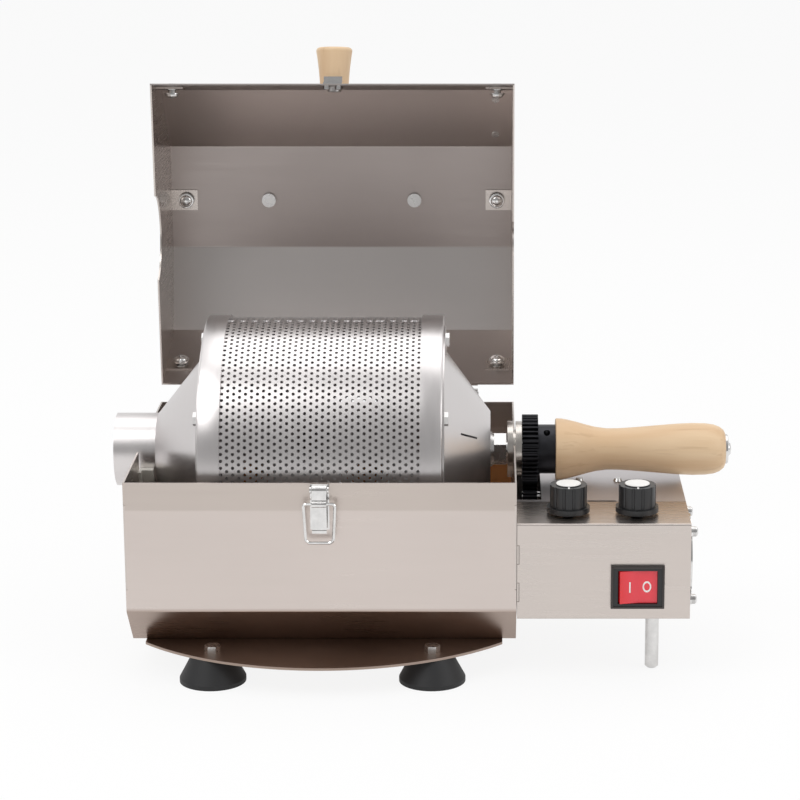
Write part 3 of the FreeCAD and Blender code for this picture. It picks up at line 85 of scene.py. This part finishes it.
class Finish:
    def __init__(self, name, **constants):
        self.material = bpy.data.materials.new(name)
        self.material.use_nodes = True
        self.tree = self.material.node_tree
        self.shader = self.tree.nodes["Principled BSDF"]
        self.place = self.add("TexCoord", {}, {}, "Object")
        for socket, value in constants.items():
            self.shader.inputs[socket.replace("_", " ")].default_value = value

    def add(self, kind, settings, inputs, output=0):
        node = self.tree.nodes.new("ShaderNode" + kind)
        for name, value in settings.items():
            setattr(node, name, value)
        for name, value in inputs.items():
            self.feed(node.inputs[name], value)
        return Reckon(self, node.outputs[output])

    def feed(self, socket, value):
        if isinstance(value, Reckon):
            self.tree.links.new(value.socket, socket)
        else:
            socket.default_value = value

    def set(self, socket, value):
        self.feed(self.shader.inputs[socket], value)

    def grain(self, scale, stretch=(1, 1, 1), detail=3, turn=(0, 0, 0)):
        spot = self.add("Mapping", {}, {"Vector": self.place, "Scale": stretch, "Rotation": turn})
        return self.add("TexNoise", {}, {"Vector": spot, "Scale": scale, "Detail": detail}, "Fac")

    def range(self, value, low, high, start=0.0, end=1.0):
        steps = {"Value": value, "From Min": start, "From Max": end, "To Min": low, "To Max": high}
        return self.add("MapRange", {}, steps, "Result")

    def mix(self, share, first, second):
        inputs = {"Factor": share, 6: (*first, 1) if isinstance(first, tuple) else first}
        inputs[7] = (*second, 1) if isinstance(second, tuple) else second
        return self.add("Mix", {"data_type": "RGBA"}, inputs, 2)

    def axis(self, letter):
        return self.add("SeparateXYZ", {}, {"Vector": self.place}, letter)

    def bump(self, height, strength, distance=0.0002):
        inputs = {"Height": height, "Strength": strength, "Distance": distance}
        self.set("Normal", self.add("Bump", {}, inputs, "Normal"))


# Finishes

def sheetSteel(name, colour, warm, rough, stretch, bands=()):
    # each band is a height in metres and the painted reflection tone that the sheet has above it: colour by
    # height that stands in for the light and shade the steel reflects
    f = Finish(name, Metallic=1.0)
    cloud = f.grain(9.0, detail=2)
    brush = f.grain(900.0, stretch, detail=2)
    tone = f.mix(f.range(cloud, 0.0, 1.0, 0.3, 0.7), colour, warm)
    high = f.axis("Z")
    # painted reflection and shade: the sheet's tone steps with height instead of coming from what it reflects
    for level, blur, paintedReflectionTone in bands:
        tone = f.mix(f.range(high, 0.0, 1.0, level - blur, level + blur), tone, paintedReflectionTone)
    f.set("Base Color", tone)
    f.set("Roughness", f.range(cloud * 0.6 + brush * 0.4, rough - 0.05, rough + 0.07, 0.3, 0.7))
    f.bump(brush, 0.03, 0.00002)
    return f.material


def plainMetal(name, colour, rough, wear=0.04):
    f = Finish(name, Metallic=1.0)
    spots = f.grain(160.0, detail=4)
    dark = tuple(channel * 0.86 for channel in colour)
    f.set("Base Color", f.mix(f.range(spots, 0.0, 1.0, 0.35, 0.65), dark, colour))
    f.set("Roughness", f.range(spots, rough - wear, rough + wear, 0.3, 0.7))
    return f.material


def plastic(name, colour, rough, grainSize=900.0, strength=0.08):
    f = Finish(name)
    fine = f.grain(grainSize, detail=2)
    cloud = f.grain(25.0, detail=2)
    light = tuple(min(1.0, channel * 1.25 + 0.004) for channel in colour)
    f.set("Base Color", f.mix(cloud, colour, light))
    f.set("Roughness", f.range(cloud, rough - 0.05, rough + 0.05))
    f.bump(fine, strength, 0.00008)
    return f.material


def birch(name, stretch):
    f = Finish(name, Coat_Weight=0.08, Coat_Roughness=0.35)
    warp = f.grain(14.0, stretch, detail=3)
    spot = f.add("Mapping", {}, {"Vector": f.place, "Scale": stretch})
    shifted = f.add("VectorMath", {"operation": "MULTIPLY_ADD"}, {0: (0.05, 0.05, 0.05), 1: warp, 2: spot})
    bands = f.add("TexNoise", {}, {"Vector": shifted, "Scale": 55.0, "Detail": 4.0}, "Fac")
    pores = f.grain(330.0, tuple(s * 0.5 if s < 1 else s for s in stretch), detail=2)
    pale = f.mix(f.range(bands, 0.0, 1.0, 0.38, 0.66), (0.69, 0.47, 0.275), (0.80, 0.60, 0.39))
    streak = f.range(pores, 0.0, 0.3, 0.58, 0.7)
    f.set("Base Color", f.mix(streak, pale, (0.46, 0.27, 0.14)))
    f.set("Roughness", f.range(bands, 0.4, 0.52))
    f.bump(pores + bands * 0.5, 0.1, 0.0001)
    return f.material


def litRed(name):
    f = Finish(name, Coat_Weight=0.6, Coat_Roughness=0.12, Emission_Strength=0.25)
    across = f.range(f.axis("X"), 0.0, 1.0, 0.1135, 0.1215)
    glow = f.grain(60.0, detail=1)
    face = f.mix(glow, (0.56, 0.016, 0.03), (0.66, 0.028, 0.048))
    f.set("Base Color", f.mix(across, (0.55, 0.005, 0.008), face))
    f.set("Emission Color", f.mix(across, (0.75, 0.008, 0.014), (0.75, 0.03, 0.05)))
    f.set("Roughness", f.range(glow, 0.22, 0.32))
    return f.material


def copperSheet(name):
    f = Finish(name, Metallic=1.0)
    cloud = f.grain(22.0, detail=3)
    f.set("Base Color", f.mix(f.range(cloud, 0.0, 1.0, 0.3, 0.7), (0.60, 0.27, 0.10), (0.78, 0.40, 0.17)))
    f.set("Roughness", f.range(cloud, 0.28, 0.42))
    return f.material


acrossGrain = (0.03, 1, 1)
finishes = {
    "panelSteel": sheetSteel("panelSteel", (0.60, 0.55, 0.515), (0.66, 0.595, 0.555), 0.26, acrossGrain),
    # painted reflection: the dark brown base colour of the lower bevel and the lighter tones above 43.5 mm and
    # 103.5 mm stand in for what the housing reflects
    "shellSteel": sheetSteel("shellSteel", (0.42, 0.335, 0.29), (0.48, 0.385, 0.335), 0.3, acrossGrain, [
        (0.0435, 0.0012, (0.68, 0.605, 0.565)), (0.1035, 0.0006, (0.60, 0.53, 0.485)),
    ]),
    # painted reflection: the base plate's dark brown tone stands in for the dark surroundings it reflects
    "plateSteel": sheetSteel("plateSteel", (0.36, 0.28, 0.235), (0.43, 0.34, 0.29), 0.34, acrossGrain),
    # painted reflection and shade: each lid facet gets its own tone by height, with the crown facet darkest,
    # standing in for what the facets reflect
    "lidSteel": sheetSteel("lidSteel", (0.58, 0.53, 0.505), (0.63, 0.575, 0.55), 0.34, acrossGrain, [
        (0.1509, 0.0006, (0.62, 0.58, 0.56)), (0.2047, 0.0006, (0.40, 0.352, 0.333)),
        (0.272, 0.0006, (0.56, 0.50, 0.475)), (0.3148, 0.0006, (0.60, 0.55, 0.53)),
    ]),
    "endSteel": sheetSteel("endSteel", (0.60, 0.55, 0.515), (0.66, 0.595, 0.555), 0.28, (1, 0.03, 1)),
    "coverSteel": sheetSteel("coverSteel", (0.55, 0.52, 0.525), (0.60, 0.57, 0.575), 0.36, acrossGrain),
    "drumSteel": sheetSteel("drumSteel", (0.72, 0.69, 0.685), (0.77, 0.74, 0.735), 0.32, (1, 0.06, 0.06)),
    "brightSteel": plainMetal("brightSteel", (0.80, 0.79, 0.78), 0.14),
    "zincSteel": plainMetal("zincSteel", (0.66, 0.65, 0.64), 0.27),
    "blackenedSteel": plainMetal("blackenedSteel", (0.045, 0.045, 0.05), 0.36),
    "castAluminium": plainMetal("castAluminium", (0.55, 0.55, 0.56), 0.42),
    "oiledBronze": plainMetal("oiledBronze", (0.62, 0.58, 0.54), 0.2),
    "heaterSheath": plainMetal("heaterSheath", (0.20, 0.185, 0.175), 0.45),
    "copperSheet": copperSheet("copperSheet"),
    "blackRubber": plastic("blackRubber", (0.012, 0.012, 0.013), 0.55, 500.0, 0.15),
    "blackPlastic": plastic("blackPlastic", (0.013, 0.013, 0.014), 0.3),
    "softBlack": plastic("softBlack", (0.035, 0.028, 0.026), 0.42),
    "whiteCap": plastic("whiteCap", (0.74, 0.73, 0.71), 0.35),
    "whiteMark": plastic("whiteMark", (0.85, 0.80, 0.78), 0.5),
    "ceramic": plastic("ceramic", (0.70, 0.66, 0.58), 0.75, 260.0, 0.3),
    "lining": plastic("lining", (0.62, 0.60, 0.55), 0.6),
    "boardGreen": plastic("boardGreen", (0.02, 0.10, 0.045), 0.4),
    "birchHandle": birch("birchHandle", (0.1, 1, 1)),
    "birchKnob": birch("birchKnob", (1, 1, 0.12)),
    "litRed": litRed("litRed"),
}

slotFinish = {
    "steel": "panelSteel", "drum": "drumSteel", "bright": "brightSteel", "zinc": "zincSteel",
    "rubber": "blackRubber", "heater": "heaterSheath", "ceramic": "ceramic", "copper": "copperSheet",
    "saddle": "lining", "motor": "castAluminium", "black": "blackPlastic", "board": "boardGreen",
    "wood": "birchHandle", "gear": "blackenedSteel", "bronze": "oiledBronze", "red": "litRed",
}
nodeFinish = {
    "lid_knob": "birchKnob", "housing_shell": "shellSteel", "base_plate": "plateSteel", "lid_cover": "lidSteel",
    "box_cover": "coverSteel", "housing_end_left": "endSteel", "housing_end_right": "endSteel",
    "lid_end_left": "endSteel", "lid_end_right": "endSteel", "box_side_left": "endSteel",
    "box_side_right": "endSteel",
}
for part in frame["record"]["subparts"]:
    name = part["node"]
    chosen = nodeFinish.get(name, slotFinish[part["material_slot"]])
    nodes[name].data.materials.clear()
    nodes[name].data.materials.append(finishes[chosen])
print("finishes made:", len(finishes))


# Making and finishing a piece

def pickOnly(piece):
    bpy.ops.object.select_all(action="DESELECT")
    piece.select_set(True)
    bpy.context.view_layer.objects.active = piece


def named(name, finish):
    piece = bpy.context.active_object
    piece.name = name
    piece.data.name = name
    piece.data.materials.clear()
    piece.data.materials.append(finishes[finish])
    return piece


def editMode():
    bpy.ops.object.mode_set(mode="EDIT")


def objectMode():
    bpy.ops.object.mode_set(mode="OBJECT")


def applyPlace(piece):
    pickOnly(piece)
    bpy.ops.object.transform_apply(location=True, rotation=True, scale=True)


def cleanFaces(piece):
    pickOnly(piece)
    editMode()
    bpy.ops.mesh.select_all(action="SELECT")
    bpy.ops.mesh.remove_doubles(threshold=1e-6)
    bpy.ops.mesh.normals_make_consistent(inside=False)
    objectMode()


def modified(piece, kind, **settings):
    pickOnly(piece)
    modifier = piece.modifiers.new(kind, kind)
    for name, value in settings.items():
        setattr(modifier, name, value)
    bpy.ops.object.modifier_apply(modifier=modifier.name)


def rounded(piece, width, segments=2, angle=35):
    limit = {"limit_method": "ANGLE", "angle_limit": math.radians(angle)}
    modified(piece, "BEVEL", width=width, segments=segments, **limit)


def smooth(piece, angle=35):
    pickOnly(piece)
    bpy.ops.object.shade_smooth_by_angle(angle=math.radians(angle))


def handIn(piece, body, slot, *replaced, angle=35):
    smooth(piece, angle)
    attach(piece, body)
    if replaced:
        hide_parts(*replaced)
    return piece


axes = {"X": Vector((1, 0, 0)), "Z": Vector((0, 0, 1))}


def turned(name, finish, profile, foot, axis, steps=96):
    # one corner is pulled along the profile and the edge is spun about the axis
    along = axes[axis] if isinstance(axis, str) else axis.normalized()
    side = along.orthogonal().normalized()
    spots = [Vector(foot) + along * a + side * r for a, r in profile]
    bpy.ops.mesh.primitive_plane_add(size=0.001, location=(0, 0, 0))
    piece = named(name, finish)
    editMode()
    bpy.ops.mesh.merge(type="CENTER")
    objectMode()
    piece.data.vertices[0].co = spots[0]
    editMode()
    bpy.ops.mesh.select_mode(type="VERT")
    bpy.ops.mesh.select_all(action="SELECT")
    for before, after in zip(spots, spots[1:]):
        bpy.ops.mesh.extrude_region_move(TRANSFORM_OT_translate={"value": after - before})
    bpy.ops.mesh.select_all(action="SELECT")
    bpy.ops.mesh.spin(steps=steps, angle=2 * math.pi, center=foot, axis=along)
    objectMode()
    cleanFaces(piece)
    return piece


def block(name, finish, low, high):
    size = Vector(high) - Vector(low)
    bpy.ops.mesh.primitive_cube_add(size=1, location=(Vector(low) + Vector(high)) / 2)
    piece = named(name, finish)
    piece.scale = size
    applyPlace(piece)
    return piece


def joined(pieces):
    bpy.ops.object.select_all(action="DESELECT")
    for piece in pieces:
        piece.select_set(True)
    bpy.context.view_layer.objects.active = pieces[0]
    if len(pieces) > 1:
        bpy.ops.object.join()
    return pieces[0]


def centre(node):
    low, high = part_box(node)
    return (low + high) / 2


# Drum: perforated sheet, rolled rings and the left cone

drum = {
    "pitch": 4.0 * mm, "hole": 1.0 * mm, "rings": 34, "skin": 0.8 * mm, "sides": 8,
}


def perforatedSheet():
    low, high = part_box("drum_mesh")
    radius = (high.z - low.z) / 2
    axisPoint = Vector(((low.x + high.x) / 2, (low.y + high.y) / 2, (low.z + high.z) / 2))
    count = round(2 * math.pi * radius / drum["pitch"])
    around = 2 * math.pi * radius / count
    along = around * math.sqrt(3) / 2
    bpy.ops.mesh.primitive_circle_add(vertices=drum["sides"], radius=drum["hole"], fill_type="NOTHING")
    piece = named("drumPerforated", "drumSteel")
    editMode()
    bpy.ops.mesh.select_all(action="SELECT")
    bpy.ops.mesh.extrude_region_move(TRANSFORM_OT_translate={"value": (0, 0, 0)})
    objectMode()
    # the outer corners go to the edge of the hole's own cell
    for vertex in piece.data.vertices:
        if vertex.select:
            reach = max(abs(vertex.co.x) / (around / 2), abs(vertex.co.y) / (along / 2))
            u, v = vertex.co.x / reach, vertex.co.y / reach
            corner = min(abs(vertex.co.x), abs(vertex.co.y)) > drum["hole"] * 0.3
            if corner:
                u, v = math.copysign(around / 2, u), math.copysign(along / 2, v)
            vertex.co.x, vertex.co.y = u, v
    step = {
        "use_relative_offset": False, "use_constant_offset": True,
        "use_merge_vertices": True, "merge_threshold": 2e-5,
    }
    modified(piece, "ARRAY", count=2, constant_offset_displace=(around / 2, along, 0), **step)
    modified(piece, "ARRAY", count=count, constant_offset_displace=(around, 0, 0), **step)
    modified(piece, "ARRAY", count=drum["rings"] // 2, constant_offset_displace=(0, along * 2, 0), **step)
    cleanFaces(piece)
    modified(piece, "SOLIDIFY", thickness=drum["skin"], offset=-1)
    top = max(vertex.co.z for vertex in piece.data.vertices)
    start = axisPoint.x - (drum["rings"] - 1) * along / 2
    for vertex in piece.data.vertices:
        turn = vertex.co.x / radius
        out = radius + vertex.co.z - top
        back, up = out * math.sin(turn), out * math.cos(turn)
        vertex.co = (start + vertex.co.y, axisPoint.y + back, axisPoint.z + up)
    cleanFaces(piece)
    editMode()
    bpy.ops.mesh.select_mode(type="FACE")
    bpy.ops.mesh.select_all(action="DESELECT")
    objectMode()
    for face in piece.data.polygons:
        face.select = face.center.y > axisPoint.y
    editMode()
    bpy.ops.mesh.separate(type="SELECTED")
    objectMode()
    rear = [thing for thing in bpy.context.selected_objects if thing != piece][0]
    rear.name = "drumPerforatedRear"
    piece.name = "drumPerforatedFront"
    for half in (piece, rear):
        handIn(half, "drum", "drum", "drum_mesh", angle=30)


perforatedSheet()
print("drum sheet perforated")


def drumRing(name, node, outward):
    low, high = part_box(node)
    middle = centre(node)
    radius = (high.z - low.z) / 2
    end = high.x if outward > 0 else low.x
    inner = low.x if outward > 0 else high.x
    lip, skin, bend = 59.8 * mm, 1.5 * mm, 1.2 * mm
    web = end - outward * mm
    profile = [
        (end, lip), (end, radius - bend), (end - outward * 0.35 * mm, radius - 0.35 * mm),
        (end - outward * bend, radius), (inner, radius), (inner, radius - skin),
        (web, radius - skin), (web, lip), (end, lip),
    ]
    piece = turned(name, "drumSteel", profile, (0, middle.y, middle.z), "X", 128)
    handIn(piece, "drum", "drum", node, angle=30)


drumRing("drumRingLeft", "drum_ring_left", -1)
drumRing("drumRingRight", "drum_ring_right", 1)


def drumCone(name, node, points):
    middle = centre(node)
    piece = turned(name, "drumSteel", [(x * mm, r * mm) for x, r in points], (0, middle.y, middle.z), "X", 128)
    handIn(piece, "drum", "drum", node, angle=30)
    return piece


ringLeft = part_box("drum_ring_left")[0].x / mm
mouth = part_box("cone_left")[0].x / mm
shoulder = mouth + 25
drumCone("coneLeft", "cone_left", [
    (ringLeft, 75), (ringLeft - 1, 75), (ringLeft - 1, 59.8), (shoulder, 22), (mouth, 22),
    (mouth, 21), (shoulder + 0.6, 21), (ringLeft, 58.4), (ringLeft, 75),
])
print("drum rings and cone turned")


# Wood handle: a flared collar, a narrow waist and a full end, with a domed screw on a disc

handle = {
    "profile": [
        (0, 0), (0, 18.1), (0.5, 18.6), (3.6, 18.5), (7, 17.9), (12.4, 16.6), (18, 15.0), (24, 13.5), (31, 12.55),
        (38, 12.6), (46, 13.1), (54, 13.75), (64, 14.6), (74, 15.4), (83, 15.8), (91, 15.6), (96, 14.9),
        (99.5, 13.6), (102, 11.6), (103, 9.5), (103, 0),
    ],
    "disc": [
        (103, 0), (103, 9), (104.1, 9), (104.6, 8.5), (104.6, 4.3), (105.3, 4.2), (106.3, 3.2), (106.8, 0),
    ],
}


def scaled(profile):
    return [(along * mm, radius * mm) for along, radius in profile]


def drumHandle():
    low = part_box("wood_handle")[0]
    middle = centre("wood_handle")
    foot = (low.x, middle.y, middle.z)
    wood = turned("turnedHandle", "birchHandle", scaled(handle["profile"]), foot, "X")
    handIn(wood, "drum", "wood", "wood_handle", angle=40)
    disc = turned("handleEndScrew", "brightSteel", scaled(handle["disc"]), foot, "X", 48)
    handIn(disc, "drum", "bright", "handle_screw", angle=40)


drumHandle()
print("handle turned")


# Dials: a white cap let into each top, and a white pointer on the rim

dial = {
    "cap": [(0, 0), (0, 7.2), (0.35, 7.2), (0.6, 6.9), (0.7, 0)],
    "pointer": 9.1, "pointerSize": (1.1, 2.4, 0.5),
}


def dialMarks(name, node, body):
    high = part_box(node)[1]
    middle = centre(node)
    cap = turned(name + "Cap", "whiteCap", scaled(dial["cap"]), (middle.x, middle.y, high.z - 0.1 * mm), "Z", 64)
    handIn(cap, body, "black")
    wide, deep, tall = (size * mm for size in dial["pointerSize"])
    spot = Vector((middle.x, middle.y - dial["pointer"] * mm, high.z - 0.5 * mm))
    half = Vector((wide / 2, deep / 2, 0))
    pointer = block(name + "Pointer", "whiteMark", spot - half, spot + half + Vector((0, 0, tall)))
    rounded(pointer, 0.2 * mm)
    handIn(pointer, body, "black")


dialMarks("dialLeft", "knob_left", "dial_left")
dialMarks("dialRight", "knob_right", "dial_right")
print("dials capped")


# Switch: the bar and the ring on the rocker's two halves, and the bezel's raised rim

switch = {
    "middle": (125.0, -122.5), "lean": 7.0, "ridge": 6.3, "reach": 5.0, "front": -3.5, "high": 57.8,
    "bar": (0.9, 6.4), "ring": (2.1, 0.45), "bezel": (31.0, 25.5), "rim": 1.3, "proud": 0.7,
}


def rockerSpot(side):
    lean = math.radians(switch["lean"])
    x, y = side * switch["reach"], switch["front"]
    place = Vector((x * math.cos(lean) - y * math.sin(lean), x * math.sin(lean) + y * math.cos(lean), 0))
    middle = Vector((switch["middle"][0], switch["middle"][1], switch["high"]))
    return (middle + place) * mm, math.radians(switch["lean"] - side * switch["ridge"])


def switchMarks():
    place, turn = rockerSpot(-1)
    wide, high = (size * mm / 2 for size in switch["bar"])
    bar = block("rockerBar", "whiteMark", (-wide, -0.3 * mm, -high), (wide, 0.3 * mm, high))
    rounded(bar, 0.15 * mm)
    bar.data.transform(Matrix.Translation(place) @ Matrix.Rotation(turn, 4, "Z"))
    handIn(bar, "rocker", "red")
    place, turn = rockerSpot(1)
    major, minor = (size * mm for size in switch["ring"])
    shape = {"major_segments": 40, "minor_segments": 10}
    bpy.ops.mesh.primitive_torus_add(major_radius=major, minor_radius=minor, **shape)
    ring = named("rockerRing", "whiteMark")
    stretch = Matrix.Diagonal((1.0, 0.7, 1.35, 1.0))
    upright = Matrix.Rotation(math.radians(90), 4, "X")
    ring.data.transform(Matrix.Translation(place) @ Matrix.Rotation(turn, 4, "Z") @ stretch @ upright)
    handIn(ring, "rocker", "red")


def bezelRim():
    wide, high = (size / 2 for size in switch["bezel"])
    rim, proud = switch["rim"], switch["proud"]
    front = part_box("switch_body")[0].y / mm
    x, z = switch["middle"][0], switch["high"]
    near, far = front - proud, front + 0.2
    bars = []
    for side in (-1, 1):
        across = x + side * (wide - rim / 2)
        up = z + side * (high - rim / 2)
        corners = [
            ((across - rim / 2, near, z - high), (across + rim / 2, far, z + high)),
            ((x - wide + rim, near, up - rim / 2), (x + wide - rim, far, up + rim / 2)),
        ]
        for low, top in corners:
            bars.append(block("bezelRim", "softBlack", Vector(low) * mm, Vector(top) * mm))
    piece = joined(bars)
    rounded(piece, 0.25 * mm)
    handIn(piece, "housing", "black")


switchMarks()
bezelRim()
print("switch marked")


# Fasteners of the lid: pan heads on washers inside, nuts outside

fastener = {
    "head": [
        (0, 0), (0, 5.0), (0.7, 5.0), (0.8, 4.8), (0.8, 4.0), (1.5, 3.95), (2.3, 3.3), (2.8, 2.2), (3.0, 0.9),
        (2.4, 0.8), (2.4, 0),
    ],
    "nut": 4.6, "nutHigh": 4.0, "shank": 2.45,
    "facets": [
        ((57.3, 324.2), (105.7, 314.8)), ((147.9, 272.0), (149.7, 204.7)), ((137.3, 150.9), (70.8, 130.7)),
    ],
}


def islands(node):
    # the corner points of each separate solid in a node
    mesh = nodes[node].data.copy()
    piece = bpy.data.objects.new(node + "Copy", mesh)
    bpy.context.scene.collection.objects.link(piece)
    cleanFaces(piece)
    editMode()
    bpy.ops.mesh.select_all(action="SELECT")
    bpy.ops.mesh.separate(type="LOOSE")
    objectMode()
    found = []
    solids = list(bpy.context.selected_objects)
    for solid in solids:
        found.append([vertex.co.copy() for vertex in solid.data.vertices])
        bpy.data.objects.remove(solid, do_unlink=True)
    return found


def facetNormal(spot):
    # the inward direction of the facet that is nearest in height to the bolt
    start, end = min(fastener["facets"], key=lambda facet: abs(facet[0][1] + facet[1][1] - 2 * spot.z / mm))
    run = Vector((0, end[0] - start[0], end[1] - start[1])).normalized()
    inward = Vector((0, run.z, -run.y))
    return inward if inward.y < 0 else -inward


def lidFasteners():
    heads = []
    nuts = []
    for number, spots in enumerate(islands("lid_bolts")):
        middle = sum(spots, Vector()) / len(spots)
        inward = facetNormal(middle)
        reach = [spot.dot(inward) for spot in spots]
        level = middle.dot(inward)
        seat = middle + inward * (max(reach) - 1.6 * mm - level)
        heads.append(turned(f"lidBolt{number}", "brightSteel", scaled(fastener["head"]), seat, inward, 48))
        back = middle + inward * (min(reach) - level)
        corner, high = fastener["nut"] * mm, fastener["nutHigh"] * mm
        bpy.ops.mesh.primitive_cylinder_add(vertices=6, radius=corner, depth=high)
        nut = named(f"lidNut{number}", "zincSteel")
        rounded(nut, 0.4 * mm)
        turn = inward.to_track_quat("Z", "X").to_matrix().to_4x4()
        nut.data.transform(Matrix.Translation(back + inward * (high / 2)) @ turn)
        nuts.append(nut)
        long, radius = (seat - back).length, fastener["shank"] * mm
        shank = [(0, 0), (0, radius), (long, radius), (long, 0)]
        nuts.append(turned(f"lidShank{number}", "zincSteel", shank, back, inward, 24))
    handIn(joined(heads), "lid", "bright", "lid_bolts")
    handIn(joined(nuts), "lid", "zinc", "lid_bolts")


lidFasteners()
print("lid fasteners made")


# Screws of the fan: domed heads

def domeOver(node, name, finish, body, slot, profile, outward):
    # a domed head that covers each plain head of a node, set on the head's own outer face
    domes = []
    for number, spots in enumerate(islands(node)):
        top = max(spot.dot(outward) for spot in spots)
        face = [spot for spot in spots if spot.dot(outward) > top - 0.05 * mm]
        seat = sum(face, Vector()) / len(face)
        seat += outward * (top - seat.dot(outward))
        domes.append(turned(f"{name}{number}", finish, scaled(profile), seat, outward, 32))
    handIn(joined(domes), body, slot)


fanDome = [(0, 0), (0, 2.7), (0.25, 2.7), (0.8, 2.2), (1.1, 1.3), (1.2, 0)]
domeOver("fan_screws", "fanScrewHeads", "brightSteel", "housing", "bright", fanDome, Vector((1, 0, 0)))
print("fan screws domed")


# Floor, light and camera

def floorAndLight():
    stageSettings = {"half": 6.0, "lit": 0.88}
    bpy.ops.mesh.primitive_plane_add(size=stageSettings["half"] * 2, location=(0, 0, -0.0002))
    floor = bpy.context.active_object
    floor.name = "floor"
    f = Finish("floorWhite", Roughness=0.9)
    f.set("Base Color", (0.86, 0.86, 0.86, 1))
    path = f.add("LightPath", {}, {}, "Is Camera Ray")
    mirrored = f.add("LightPath", {}, {}, "Is Glossy Ray")
    seenShare = (path + mirrored * 0.6) * stageSettings["lit"]
    glow = f.add("Emission", {}, {"Color": (1, 1, 1, 1), "Strength": 1.0}, "Emission")
    both = f.add("MixShader", {}, {0: seenShare, 1: Reckon(f, f.shader.outputs[0]), 2: glow})
    f.feed(f.tree.nodes["Material Output"].inputs["Surface"], both)
    floor.data.materials.append(f.material)

    world = bpy.data.worlds.new("studio")
    bpy.context.scene.world = world
    world.use_nodes = True
    tree = world.node_tree
    sky = tree.nodes["Background"]
    coordinates = tree.nodes.new("ShaderNodeTexCoord")
    split = tree.nodes.new("ShaderNodeSeparateXYZ")
    tree.links.new(coordinates.outputs["Generated"], split.inputs[0])
    ramp = tree.nodes.new("ShaderNodeMapRange")
    ramp.inputs["From Min"].default_value = -0.75
    ramp.inputs["From Max"].default_value = 0.3
    ramp.inputs["To Min"].default_value = 0.35
    ramp.inputs["To Max"].default_value = 0.85
    tree.links.new(split.outputs["Y"], ramp.inputs["Value"])
    seen = tree.nodes.new("ShaderNodeLightPath")
    white = tree.nodes.new("ShaderNodeMix")
    white.data_type = "FLOAT"
    tree.links.new(seen.outputs["Is Camera Ray"], white.inputs["Factor"])
    tree.links.new(ramp.outputs["Result"], white.inputs["A"])
    white.inputs["B"].default_value = 1.0
    tree.links.new(white.outputs["Result"], sky.inputs["Strength"])
    sky.inputs["Color"].default_value = (1, 1, 1, 1)

    lamps = {
        "keyLamp": {"at": (-0.9, -0.9, 1.6), "size": 1.2, "watts": 13},
        "fillLamp": {"at": (1.3, -0.7, 1.0), "size": 1.0, "watts": 6},
        "topLamp": {"at": (0.1, 0.5, 1.7), "size": 1.4, "watts": 7},
    }
    for name, lamp in lamps.items():
        bpy.ops.object.light_add(type="AREA", location=lamp["at"])
        light = bpy.context.active_object
        light.name = name
        light.data.size = lamp["size"]
        light.data.energy = lamp["watts"]
        aim = Vector((0, 0, 0.15)) - Vector(lamp["at"])
        light.rotation_euler = aim.to_track_quat("-Z", "Y").to_euler()


def placeCamera():
    view = {"focalPixels": 2696.0, "pitch": 14.16, "axisColumn": 487.1, "at": (0.038, -1.6102, 0.5438)}
    bpy.ops.object.camera_add(location=view["at"], rotation=(math.radians(90 - view["pitch"]), 0, 0))
    camera = bpy.context.active_object
    camera.name = "photoCamera"
    camera.data.sensor_width = 36
    camera.data.lens = view["focalPixels"] / 800 * 36
    camera.data.shift_x = (400 - view["axisColumn"]) / 800
    bpy.context.scene.camera = camera


floorAndLight()
placeCamera()
bpy.context.scene.view_settings.view_transform = "Standard"

print("scene ready")
